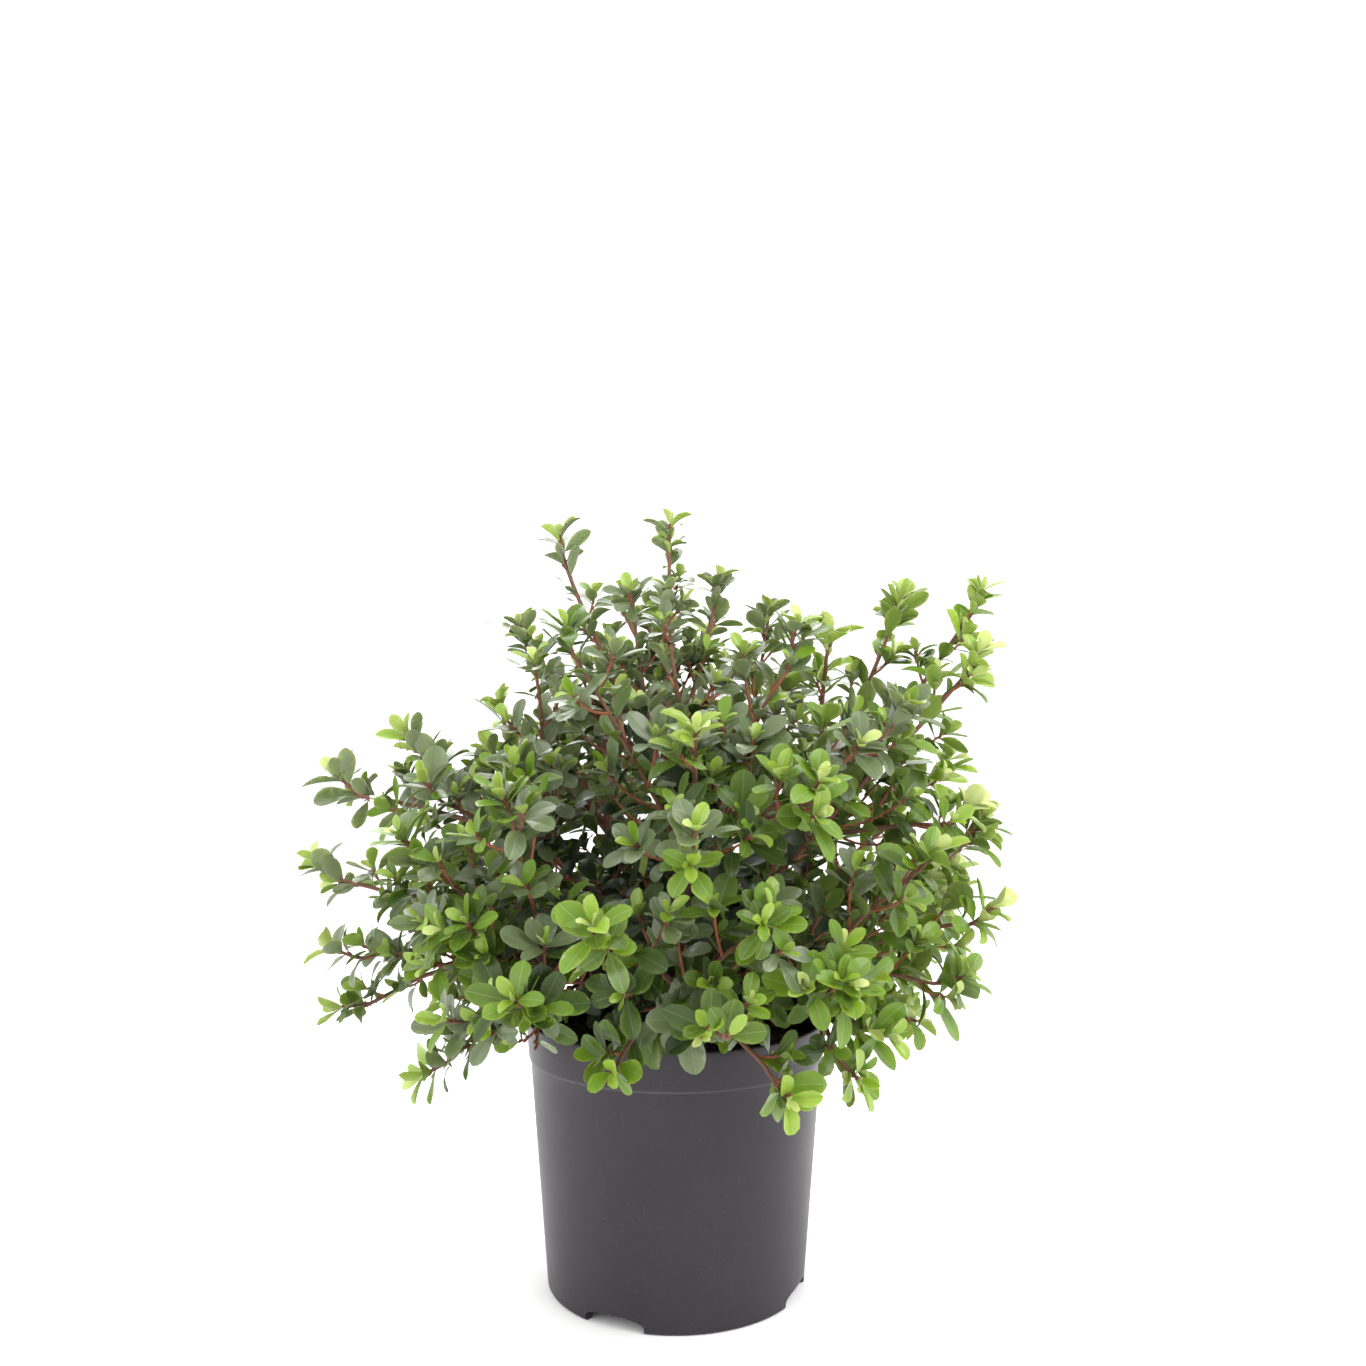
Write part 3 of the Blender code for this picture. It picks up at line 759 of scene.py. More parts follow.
def make_of(place, size=LEAF_LENGTH):
    """Which make a leaf has: the finer, the nearer it is to the crown's outline."""
    outward = outwardness(place)
    if size < SMALL_SIZE * LEAF_LENGTH or outward < PLAIN_OUTWARD:
        return "small"
    return "fine" if outward > FINE_OUTWARD else "plain"


def crown_size(place):
    """The share of their full size that the leaves have."""
    high = min(1.0, max(0.0, (place.z - SMALLER_FROM) / SMALLER_OVER))
    return 1.0 - SMALLER_BY * high * (1.0 - SMALLER_RIGHT * max(0.0, (place - HUB).normalized().x))


def grow_leaf(root, stem, turn, lean, length, kind, make, rng, held):
    """One leaf at a node, its face turned to the twig's tip and to the light, or None without room."""
    lowest = LOWEST_HANGING_LEAF if root.z < LOWEST_LEAF + TWIG_TIP_ROOM else LOWEST_LEAF
    light_share, roll = held
    for attempt in range(LEAF_TRIES):
        along = leaned(stem, turned_out(stem, turn + attempt * LEAF_TRY_TURN), lean).normalized()
        tip = root + along * length
        light = ((root - HUB).normalized() + UP).normalized()
        face = stem.lerp(light, light_share)
        face -= along * face.dot(along)
        if tip.z < lowest or face.length < LEAST_FACE:
            continue
        face = Quaternion(along, math.radians(rng.uniform(-roll, roll))) @ face.normalized()
        width = length * LEAF_WIDTH_SHARE * rng.uniform(*LEAF_WIDTHS)
        middle = root + along * (LEAF_MIDDLE * length)
        aside = along.cross(face) * (width / 2)
        if not clear_of_pot([tip, middle + aside, middle - aside, middle]):
            continue
        bends = [rng.uniform(*bend) for bend in (LEAF_FOLDS, LEAF_ARCHES, LEAF_TWISTS)]
        bends[0] += YOUNG_FOLD if kind in ("fresh", "pale") else 0.0
        bends = map(math.radians, bends)
        return Leaf(root, along, face, length, width, *bends, rng.uniform(0.0, math.tau), kind, make)
    return None


def dress_twig(path, habit, rng):
    """Leaves along a twig at nodes that close up towards its tip, tufts in some axils, and a rosette."""
    leaves = []
    nodes = []
    tip = path[-1]
    length = path_length(path)
    level = min(spray_level(tip, rng), habit.most)
    way = (tip - HUB).normalized()
    # Grey-green sprays, partly painted sheen, go more to the left and the top
    grey_and_sheen = rng.random() < GREY_SHARE + GREY_RIGHT * way.x + GREY_TOP * way.z**2
    upright = max(0.0, (tip - path[-3]).normalized().z)
    turn = rng.uniform(0.0, 360.0)
    vigour = rng.uniform(*TWIG_VIGOURS) * crown_size(tip)
    along = habit.bare * length + habit.spacings[0] * rng.uniform(*FIRST_NODE)
    while along < length - TWIG_END_ROOM:
        share = along / length
        root, stem = place_on(path, share)
        turn += GOLDEN_ANGLE + rng.uniform(-TURN_STRAY, TURN_STRAY)
        size = LEAF_LENGTH * vigour * rng.uniform(*habit.sizes)
        lean = rng.uniform(*habit.leans) - LEAN_BY_SHARE * share - LEAN_BY_UPRIGHT * upright
        own_level = level + rng.uniform(*LEVEL_STRAY) + LEVEL_BY_SHARE * (share - LEVEL_EVEN_SHARE)
        own_level += habit.fresher * max(0.0, share - FRESH_FROM_SHARE)
        kind = kind_of(own_level, grey_and_sheen)
        leaves.append(grow_leaf(root, stem, turn, lean, size, kind, make_of(root, size), rng, habit.held))
        nodes.append((root, stem, turn))
        if rng.random() < habit.tufts:
            for _ in range(rng.randint(*TUFT_LEAVES)):
                size = LEAF_LENGTH * rng.uniform(*TUFT_SIZES)
                aside = turn + rng.uniform(-TUFT_TURN, TUFT_TURN)
                kind = kind_of(own_level + rng.uniform(*TUFT_LEVELS), grey_and_sheen)
                lean = rng.uniform(*TUFT_LEANS)
                leaves.append(grow_leaf(root, stem, aside, lean, size, kind, "small", rng, TUFT_HELD))
        spread = habit.spacings[0] + (habit.spacings[1] - habit.spacings[0]) * share
        along += spread * crown_size(tip) * rng.uniform(*NODE_SPREAD)
    leaves += rosette(path, habit, level, grey_and_sheen, vigour, turn, rng)
    tip, stem = place_on(path, 1.0)
    for number in range(TIP_NODES):
        nodes.append((tip - stem * TIP_NODE_SPACING * number, stem, turn + GOLDEN_ANGLE * number))
    return [leaf for leaf in leaves if leaf is not None], nodes


def rosette(path, habit, level, grey_and_sheen, vigour, turn, rng):
    """The spread leaves round a twig's tip, ever younger, smaller and steeper towards its bud."""
    tip, stem = place_on(path, 1.0)
    upright = max(0.0, stem.z)
    make = make_of(tip)
    outer = rng.randint(*habit.rosette)
    youngest = habit.youngest
    # Low hanging tips get painted shade: darker kinds
    if tip.z < HANGING_TIP:
        youngest -= HANGING_YOUNG_SHADE
        level -= HANGING_SHADE
    leaves = []
    for number in range(outer):
        share = number / outer
        turn += GOLDEN_ANGLE + rng.uniform(-ROSETTE_STRAY, ROSETTE_STRAY)
        root = tip - stem * (ROSETTE_DEPTH * (1.0 - share))
        lean = ROSETTE_LEAN - ROSETTE_LEAN_BY_SHARE * share - ROSETTE_LEAN_BY_UPRIGHT * upright
        lean += rng.uniform(-ROSETTE_LEAN_STRAY, ROSETTE_LEAN_STRAY)
        size = LEAF_LENGTH * vigour * (ROSETTE_SIZE - ROSETTE_SIZE_BY_SHARE * share)
        size *= rng.uniform(*ROSETTE_SIZES)
        own_level = level + habit.tip_fresher + LEVEL_BY_SHARE * share
        kind = kind_of(own_level + rng.uniform(-ROSETTE_LEVEL_STRAY, ROSETTE_LEVEL_STRAY), grey_and_sheen)
        leaves.append(grow_leaf(root, stem, turn, lean, size, kind, make, rng, ROSETTE_HELD))
    for number in range(rng.randint(*habit.young)):
        turn += GOLDEN_ANGLE + rng.uniform(-ROSETTE_STRAY, ROSETTE_STRAY)
        size = LEAF_LENGTH * crown_size(tip) * (habit.largest - YOUNG_SIZE_STEP * number)
        size *= rng.uniform(*YOUNG_SIZES)
        lean = YOUNG_LEAN - YOUNG_LEAN_STEP * number + rng.uniform(-YOUNG_LEAN_STRAY, YOUNG_LEAN_STRAY)
        own_level = max(level + YOUNG_LEVEL, youngest) + YOUNG_LEVEL_STEP * number
        kind = kind_of(own_level + rng.uniform(*YOUNG_LEVEL_STRAY), False)
        young_make = "plain" if make == "fine" and number < PLAIN_YOUNG_LEAVES else "small"
        leaves.append(grow_leaf(tip, stem, turn, lean, size, kind, young_make, rng, YOUNG_HELD))
    return leaves


def grow():
    """All the wood finer than the boughs, all the leaves, and the nodes that they stand on."""
    twigs = []
    leaves = []
    nodes = []

    def add(path, habit, radii, sides, rng, over_rim=False):
        if not over_rim:
            path = path[:next((index for index, point in enumerate(path) if hides_rim(point)), len(path))]
            if len(path) < LEAST_TWIG_POINTS:
                return
        twigs.append(Twig(path, np.linspace(*radii, len(path)), sides))
        if habit is None:
            return
        more_leaves, more_nodes = dress_twig(path, HABITS[habit], rng)
        for leaf in more_leaves:
            if over_rim or not any(map(hides_rim, (leaf.root, leaf.root + leaf.along * leaf.length))):
                leaves.append(leaf)
        nodes.extend((*node, radii[1]) for node in more_nodes)

    for number, mass in enumerate(MASSES):
        axis = direction(*MASSES[mass])
        start = HUB + axis * (bough_end(mass) - MASS_STEM_SUNK)
        end = start + axis * (MASS_STEM_LENGTH + MASS_STEM_SUNK)
        stem = [start.lerp(end, index / MASS_STEM_STEPS) for index in range(MASS_STEM_STEPS + 1)]
        add(stem, None, (BOUGH_TIP_RADIUS, FINE_SHOOT_RADIUS), SHOOT_SIDES, None)
        for inner in inner_twigs(number, mass):
            rng = random.Random(SEED + 700 * (number + 1) + len(twigs))
            add(inner, "inner", SIDE_TWIG_RADII, SIDE_TWIG_SIDES, rng)
    for shoot in crown_shoots():
        rng = random.Random(SEED + 1000 * (shoot.number + 1))
        path = wandered(shoot_path(shoot), shoot.number)
        leader = shoot.number < len(LEADERS)
        stout = LEADER_STOUTNESS if leader else 1.0
        radii = (stout * FINE_SHOOT_RADIUS, stout * FINE_TIP_RADIUS)
        hanging = leader and shoot.way.z < 0.0
        add(path, "long" if leader else "spray", radii, SHOOT_SIDES, rng, hanging)
        for side_path in side_twigs(shoot, path):
            add(side_path, "spray", SIDE_TWIG_RADII, SIDE_TWIG_SIDES, rng, hanging)
    return twigs, leaves, nodes


# Meshes from arrays

def mesh_from_arrays(name, points, faces, kinds=None):
    """A mesh from an array of points and a list of arrays of faces, each array with faces of one size."""
    mesh = bpy.data.meshes.new(name)
    mesh.vertices.add(len(points))
    mesh.vertices.foreach_set("co", np.ascontiguousarray(points, np.float32).ravel())
    corners = np.concatenate([block.ravel() for block in faces]).astype(np.int32)
    sizes = np.concatenate([np.full(len(block), block.shape[1], np.int32) for block in faces])
    mesh.loops.add(len(corners))
    mesh.loops.foreach_set("vertex_index", corners)
    mesh.polygons.add(len(sizes))
    mesh.polygons.foreach_set("loop_start", np.concatenate([[0], np.cumsum(sizes)[:-1]]).astype(np.int32))
    if kinds is not None:
        mesh.polygons.foreach_set("material_index", np.concatenate(kinds).astype(np.int32))
    mesh.update(calc_edges=True)
    mesh.validate()
    return mesh


def joined(parts):
    """All the points of some parts, and all their arrays of faces, counted on from part to part."""
    faces = []
    first = 0
    for points, blocks in parts:
        faces += [block + first for block in blocks]
        first += len(points)
    return np.concatenate([points for points, _ in parts]), faces


def read(items, key, width=1, kind=float):
    """An array of one property of a mesh's points, corners or normals."""
    values = np.zeros(len(items) * width, kind)
    items.foreach_get(key, values)
    return values


def add_object(name, data):
    obj = bpy.data.objects.new(name, data)
    bpy.context.scene.collection.objects.link(obj)
    return obj


def link(name, mesh, *materials):
    for finish in materials:
        mesh.materials.append(finish)
    return add_object(name, mesh)


def smooth(obj):
    """Shades a piece smooth, but for the edges that are sharper than its angle."""
    obj.data.shade_smooth()
    obj.data.set_sharp_from_angle(angle=math.radians(SMOOTH_UNDER.get(obj.name, LEAF_SMOOTH_UNDER)))
    return obj


def apply_modifier(obj, name, kind, **settings):
    """Adds a modifier with these settings and applies it."""
    modifier = obj.modifiers.new(name, kind)
    for key, value in settings.items():
        setattr(modifier, key, value)
    with bpy.context.temp_override(object=obj, active_object=obj, selected_objects=[obj]):
        bpy.ops.object.modifier_apply(modifier=modifier.name)


def ring_frames(path):
    """For each point of a path, the way along it and a side vector that is carried on without twisting."""
    last = len(path) - 1
    side = (path[1] - path[0]).orthogonal()
    frames = []
    for index in range(len(path)):
        along = (path[min(index + 1, last)] - path[max(index - 1, 0)]).normalized()
        side = (side - along * side.dot(along)).normalized()
        frames.append((along, side.copy()))
    return frames


def tube_points(path, radii, sides):
    rings = []
    for point, radius, (along, side) in zip(path, radii, ring_frames(path)):
        other = along.cross(side)
        for step in range(sides):
            angle = math.tau * step / sides
            rings.append(point + side * (radius * math.cos(angle)) + other * (radius * math.sin(angle)))
    return np.array([tuple(point) for point in rings])


def turned_points(outline, segments):
    """An outline of (radius, height) turned round the Z axis, ring by ring."""
    angle = np.arange(segments) * math.tau / segments
    across, deep, level = np.cos(angle), np.sin(angle), np.ones(segments)
    rings = [(radius * across, radius * deep, height * level) for radius, height in outline]
    return np.concatenate([np.stack(ring, axis=-1) for ring in rings])


def tube_faces(rings, sides):
    """The quads of a tube's wall, and its two end caps."""
    row = np.arange(rings - 1)[:, None] * sides
    step = np.arange(sides)[None, :]
    following = (step + 1) % sides
    wall = np.stack([row + step, row + following, row + sides + following, row + sides + step], axis=-1)
    first = np.arange(sides)[::-1]
    last = (rings - 1) * sides + np.arange(sides)
    return wall.reshape(-1, 4), np.stack([first, last])


def tube_mesh(name, tubes):
    """One mesh of tubes, each given as the points of its rings and how many sides it has."""
    points = []
    walls = []
    caps = {}
    first = 0
    for made, sides in tubes:
        wall, cap = tube_faces(len(made) // sides, sides)
        points.append(made)
        walls.append(wall + first)
        caps.setdefault(sides, []).append(cap + first)
        first += len(made)
    blocks = [np.concatenate(walls)] + [np.concatenate(caps[size]) for size in sorted(caps)]
    return mesh_from_arrays(name, np.concatenate(points), blocks)


def make_twigs(twigs, name, finish):
    """One mesh of all the given twigs."""
    mesh = tube_mesh(name, [(tube_points(*twig), twig.sides) for twig in twigs])
    return smooth(link(name, mesh, finish))


def make_leaf_bases(nodes, finish):
    """One mesh of the swollen leaf bases and bud scales that make the twigs knotty: rising wedges."""
    rng = random.Random(SEED + 11)
    shape = np.array([(out * KNOB_OUT, up, aside * KNOB_ASIDE) for out, up, aside in KNOB])
    walls = np.array(KNOB_WALLS)
    knobs = []
    for root, stem, turn, radius in nodes:
        out = turned_out(stem, turn)
        axes = np.array([out[:], stem[:], stem.cross(out)[:]])
        size = rng.uniform(*KNOB_SIZES) * (KNOB_LEAST + radius / KNOB_TWIG_RADIUS)
        knobs.append(((shape * size) @ axes + np.array(root[:]), [walls]))
    return smooth(link("leaf_bases", mesh_from_arrays("leaf_bases", *joined(knobs)), finish))


def half_width(share):
    """A leaf's half width, as a share of its greatest, at a share of its length."""
    up = np.clip((np.asarray(share) - STALK_SHARE) / (1.0 - STALK_SHARE), 0.0, 1.0)
    widest = OUTLINE_BASE_POWER / (OUTLINE_BASE_POWER + OUTLINE_TIP_POWER)
    greatest = widest**OUTLINE_BASE_POWER * (1.0 - widest) ** OUTLINE_TIP_POWER
    return up**OUTLINE_BASE_POWER * (1.0 - up) ** OUTLINE_TIP_POWER / greatest


def leaf_block(leaves):
    """Points, faces, skins and a map (across, along) of many leaves of one make."""
    make = LEAF_MAKES[leaves[0].make]
    rows, (side, lift, skin) = np.array(make.rows), np.array(make.section).T
    count, rings, sides = len(leaves), len(rows), len(side)

    def field(name, *shape):
        return np.array([getattr(leaf, name) for leaf in leaves]).reshape(count, *shape)

    root, along, face = (field(name, 1, 3) for name in ("root", "along", "face"))
    length, width, arch, twist = (field(name, 1) for name in ("length", "width", "arch", "twist"))
    arch = np.where(np.abs(arch) > LEAST_ARCH, arch, LEAST_ARCH)
    turned = arch * rows
    twisted = twist * rows
    across = np.cross(along, face)
    spine = root + along * (length * np.sin(turned) / arch)[..., None]
    spine = spine - face * (length * (1.0 - np.cos(turned)) / arch)[..., None]
    up = face * np.cos(turned)[..., None] + along * np.sin(turned)[..., None]
    flat = across * np.cos(twisted)[..., None] + up * np.sin(twisted)[..., None]
    up = up * np.cos(twisted)[..., None] - across * np.sin(twisted)[..., None]
    half = np.maximum(width / 2 * half_width(rows), STALK_RADIUS)[..., None]
    rib = np.sign(side) * np.minimum(RIB_HALF_WIDTH, RIB_WIDTH_SHARE * half)
    sideways = np.where(np.abs(side) < RIB_SIDE, rib, half * side)
    raised = lift * BLADE_THICKNESS / 2 + np.abs(sideways) * np.tan(field("fold", 1, 1))
    wave = np.sin(field("wave", 1, 1) + WAVE_ALONG * rows[None, :, None] + WAVE_ACROSS * side)
    raised = raised + wave * WAVE_HEIGHT * np.abs(sideways)
    points = spine[:, :, None, :] + flat[:, :, None, :] * sideways[..., None]
    points = points + up[:, :, None, :] * raised[..., None]
    wall, cap = tube_faces(rings, sides)
    first = (np.arange(count) * rings * sides)[:, None, None]
    skins = np.tile(skin, rings - 1)
    skins[:sides] = STALK
    chart = np.stack(np.broadcast_arrays(side / 2 + 0.5, rows[:, None]), axis=-1).reshape(-1, 2)
    return (
        points.reshape(-1, 3),
        [(wall + first).reshape(-1, 4), (cap + first).reshape(-1, sides)],
        [np.tile(skins, count), np.full(2 * count, STALK)],
        np.tile(chart, (count, 1)),
    )


def make_leaves(leaves, name, materials):
    """One mesh of all the given leaves, with a map of each leaf for its veins."""
    lots = [[leaf for leaf in leaves if leaf.make == make] for make in LEAF_MAKES]
    parts = [leaf_block(lot) for lot in lots if lot]
    points, faces = joined([part[:2] for part in parts])
    mesh = mesh_from_arrays(name, points, faces, [skins for part in parts for skins in part[2]])
    chart = np.concatenate([part[3] for part in parts])[read(mesh.loops, "vertex_index", 1, np.int32)]
    layer = mesh.uv_layers.new(name="leaf_chart")
    layer.data.foreach_set("uv", chart.astype(np.float32).ravel())
    return smooth(link(name, mesh, *materials))


# Materials

class Nodes:
    """A new material's node tree, with the few calls that the materials below share."""

    def __init__(self, name):
        self.material = bpy.data.materials.new(name)
        self.material.use_nodes = True
        self.tree = self.material.node_tree
        self.shader = self.tree.nodes["Principled BSDF"]
        self.place = self.add("ShaderNodeTexCoord").outputs["Object"]

    def give(self, socket, value):
        """Joins a socket to another node's output, or sets it to a value."""
        if isinstance(value, bpy.types.NodeSocket):
            self.tree.links.new(value, socket)
        elif isinstance(value, tuple) and len(value) < len(socket.default_value):
            socket.default_value = (*value, 1.0)
        else:
            socket.default_value = value

    def add(self, kind, **inputs):
        node = self.tree.nodes.new(kind)
        for name, value in inputs.items():
            self.give(node.inputs[name.replace("_", " ")], value)
        return node

    def finish(self, **inputs):
        """Sets the shader's inputs and gives the material back."""
        for name, value in inputs.items():
            self.give(self.shader.inputs[name.replace("_", " ")], value)
        return self.material

    def noise(self, scale, detail=4.0, roughness=0.55, vector=None):
        vector = vector or self.place
        node = self.add("ShaderNodeTexNoise", Vector=vector, Scale=scale, Detail=detail, Roughness=roughness)
        return node.outputs["Fac"]

    def spread(self, value, low, high, to_low=0.0, to_high=1.0):
        node = self.add("ShaderNodeMapRange", Value=value, From_Min=low, From_Max=high)
        self.give(node.inputs["To Min"], to_low)
        self.give(node.inputs["To Max"], to_high)
        return node.outputs["Result"]

    def math(self, operation, *values):
        node = self.add("ShaderNodeMath")
        node.operation = operation
        for socket, value in zip(node.inputs, values):
            self.give(socket, value)
        return node.outputs[0]

    def split(self, vector):
        return self.add("ShaderNodeSeparateXYZ", Vector=vector).outputs

    def ramp(self, value, *stops):
        node = self.add("ShaderNodeValToRGB", Fac=value)
        while len(node.color_ramp.elements) < len(stops):
            node.color_ramp.elements.new(0.5)
        for element, (place, colour) in zip(node.color_ramp.elements, stops):
            element.position = place
            element.color = (*colour, 1.0)
        return node.outputs["Color"]

    def mix(self, share, first, second):
        node = self.add("ShaderNodeMix")
        node.data_type = "RGBA"
        for index, value in zip((0, 6, 7), (share, first, second)):
            self.give(node.inputs[index], value)
        return node.outputs[2]

    def bump(self, height, strength, distance, **normal):
        node = self.add("ShaderNodeBump", Height=height, Strength=strength, Distance=distance, **normal)
        return node.outputs["Normal"]


def leaf_material(name, colour, roughness, gloss, vein_strength, coat):
    """A plain colour with a leaf's relief of side veins, its fine grain and its uneven wax."""
    made = Nodes(name)
    chart = made.add("ShaderNodeUVMap")
    chart.uv_map = "leaf_chart"
    across, along, _ = made.split(chart.outputs["UV"])
    aside = made.math("ABSOLUTE", made.math("SUBTRACT", across, 0.5))
    slant = made.math("SUBTRACT", along, made.math("MULTIPLY", aside, 0.55))
    veins = made.math("ABSOLUTE", made.math("SINE", made.math("MULTIPLY", slant, 28.0)))
    normal = made.bump(made.math("POWER", veins, 0.35), vein_strength, 0.0002)
    return made.finish(
        Base_Color=colour, IOR=1.45, Subsurface_Weight=0.2, Subsurface_Scale=0.002,
        Subsurface_Radius=(0.8, 1.0, 0.3), Specular_IOR_Level=gloss, Coat_Weight=coat, Coat_Roughness=0.22,
        Normal=made.bump(made.noise(320.0, 2.0), 0.15, 0.0002, Normal=normal),
        Roughness=made.spread(made.noise(160.0, 3.0), 0.3, 0.7, roughness - 0.06, roughness + 0.12),
    )


def stalk_material(name, colour):
    made = Nodes(name)
    grain = made.noise(1400.0, 3.0)
    return made.finish(
        Base_Color=colour, Subsurface_Weight=0.1, Subsurface_Scale=0.001,
        Normal=made.bump(grain, 0.3, 0.0002), Roughness=made.spread(grain, 0.3, 0.7, 0.38, 0.55),
    )


def twig_material(name, colour, roughness, ridge_scale):
    """Plain coloured young bark with cracks and small raised pores."""
    made = Nodes(name)
    ridges = made.noise(ridge_scale, 6.0, 0.7)
    pores = made.spread(made.noise(ridge_scale * 2.6, 2.0), 0.58, 0.70)
    return made.finish(
        Base_Color=colour,
        Normal=made.bump(pores, 0.6, 0.0002, Normal=made.bump(ridges, 0.8, 0.0004)),
        Roughness=made.spread(ridges, 0.3, 0.7, roughness - 0.12, roughness + 0.12),
    )


def earthy_material(name, broad_scale, fine, fine_share, colours, relief, roughness):
    """Broad patches and a fine grain in one range of colours, as old bark and potting soil have them."""
    made = Nodes(name)
    patches = made.math("MULTIPLY", made.noise(*broad_scale), 1.0 - fine_share)
    grain = made.noise(*fine)
    return made.finish(
        Base_Color=made.ramp(made.math("ADD", patches, made.math("MULTIPLY", grain, fine_share)), *colours),
        Normal=made.bump(grain, *relief),
        Roughness=made.spread(grain, 0.3, 0.7, *roughness),
    )


def bark_material():
    colours = (
        (0.30, (0.040, 0.021, 0.014)), (0.48, (0.105, 0.055, 0.036)),
        (0.60, (0.165, 0.098, 0.066)), (0.74, (0.270, 0.205, 0.150)),
    )
    patches, grain = (120.0, 5.0, 0.6), (700.0, 6.0, 0.7)
    return earthy_material("old_bark", patches, grain, 0.4, colours, (0.9, 0.0006), (0.62, 0.88))


def soil_material():
    colours = (
        (0.28, (0.010, 0.006, 0.004)), (0.50, (0.030, 0.019, 0.012)),
        (0.66, (0.070, 0.043, 0.026)), (0.80, (0.150, 0.100, 0.062)),
    )
    patches, grain = (90.0, 5.0, 0.6), (800.0, 5.0, 0.7)
    return earthy_material("potting_soil", patches, grain, 0.5, colours, (1.0, 0.0008), (0.80, 0.98))


def pot_material():
    """Satin dark grey moulded plastic, faintly cloudy, dusty and scuffed, with a painted highlight along its
    band's lower edge.
    """
    made = Nodes("pot_plastic")
    cloud = made.noise(14.0, 5.0, 0.6)
    drawn = made.add(
        "ShaderNodeMapping", Vector=made.place, Scale=(60.0, 60.0, 9.0), Rotation=(0.3, 0.2, 0.0)
    )
    worn = made.spread(made.noise(5.0, 8.0, 0.72, drawn.outputs["Vector"]), 0.60, 0.74)
    dust = made.math("MULTIPLY", made.spread(made.noise(900.0, 2.0), 0.66, 0.78), 0.35)
    # A thin lighter line just over the band's lower edge: a painted highlight, where the ledge catches the
    # floor's light
    from_edge = made.math("SUBTRACT", made.split(made.place)["Z"], POT_HEIGHT - RIM_BAND_HEIGHT + 0.0004)
    edge = made.spread(made.math("ABSOLUTE", from_edge), 0.0004, 0.0010, 1.0, 0.0)
    edge = made.math("MULTIPLY", edge, made.spread(cloud, 0.30, 0.60, 0.35, 0.9))
    base = made.mix(made.spread(cloud, 0.35, 0.68), (0.0155, 0.0114, 0.0158), (0.0220, 0.0165, 0.0224))
    base = made.mix(made.math("MULTIPLY", worn, 0.28), base, (0.070, 0.064, 0.068))
    base = made.mix(dust, base, (0.100, 0.094, 0.090))
    normal = made.bump(made.noise(2200.0, 2.0), 0.10, 0.0002)
    rough = made.math("ADD", made.spread(cloud, 0.3, 0.7, 0.36, 0.46), made.math("MULTIPLY", worn, 0.16))
    return made.finish(
        Base_Color=made.mix(edge, base, (0.056, 0.050, 0.057)), Specular_IOR_Level=0.34, Roughness=rough,
        Normal=made.bump(cloud, 0.20, 0.0012, Normal=normal),
    )


def floor_material():
    made = Nodes("pale_floor")
    colour = made.mix(made.noise(3.0, 3.0), (0.93, 0.93, 0.93), (0.95, 0.95, 0.95))
    return made.finish(Base_Color=colour, Roughness=0.75, Specular_IOR_Level=0.2)


# Pot

def arc(centre, radius, start, end, steps):
    """Points (radius, height) of an arc of the pot's outline; angles in degrees, 0 outwards and 90 up."""
    points = []
    for step in range(steps + 1):
        angle = math.radians(start + (end - start) * step / steps)
        points.append((centre[0] + radius * math.cos(angle), centre[1] + radius * math.sin(angle)))
    return points


def pot_outline():
    """The pot's outline from the middle of its underside up the outside, over the lip and to its floor."""
    band_low = POT_HEIGHT - RIM_BAND_HEIGHT
    foot = POT_FOOT_ROUND
    inside = POT_BASE_RADIUS - FOOT_RING
    under = POT_RECESS - RECESS_ROUND
    outline = [(radius, under) for radius in (*UNDERSIDE_RADII, inside - INNER_ROUND)]
    outline += arc((inside - RECESS_ROUND, under - RECESS_ROUND), RECESS_ROUND, 90.0, 0.0, 4)
    outline += arc((inside + FOOT_RING_ROUND, FOOT_RING_ROUND), FOOT_RING_ROUND, 180.0, 270.0, 4)
    outline += arc((outer_radius(foot) - foot, foot), foot, -90.0, 0.0, 6)
    for step in range(1, WALL_STEPS + 1):
        height = foot + (band_low - UNDER_BAND - foot) * step / WALL_STEPS
        outline.append((outer_radius(height), height))
    # The band steps out over a small sloped ledge
    ledge = outer_radius(band_low) + RIM_BAND_STEP
    outline += arc((ledge - BAND_ROUND, band_low + BAND_LEDGE), BAND_ROUND, -62.0, 0.0, 6)
    for step in range(1, BAND_STEPS):
        share = step / BAND_STEPS
        outline.append((ledge + (POT_RIM_RADIUS - ledge) * share, band_low + RIM_BAND_HEIGHT * share))
    lip = POT_WALL / 2
    outline += arc((POT_RIM_RADIUS - lip, POT_HEIGHT - lip), lip, 0.0, 180.0, 10)
    floor_top = POT_RECESS + POT_FLOOR
    outline.append((POT_RIM_RADIUS - POT_WALL, band_low))
    outline.append((outer_radius(band_low - INNER_STEP) - POT_WALL, band_low - INNER_STEP))
    corner = (outer_radius(floor_top) - POT_WALL - INNER_ROUND, floor_top + INNER_ROUND)
    outline += arc(corner, INNER_ROUND, 0.0, -90.0, 4)
    outline.append((UNDERSIDE_RADII[0], floor_top))
    return outline


def make_pot():
    mesh = tube_mesh("pot_shell", [(turned_points(pot_outline(), POT_SEGMENTS), POT_SEGMENTS)])
    pot = link("pot_shell", mesh, pot_material())
    for azimuth in NOTCH_AZIMUTHS:
        cut_notch(pot, azimuth)
    apply_modifier(
        pot, "round_edges", "BEVEL",
        width=POT_EDGE_ROUND, segments=2, limit_method="ANGLE", angle_limit=math.radians(POT_EDGE_ANGLE),
    )
    return smooth(pot)


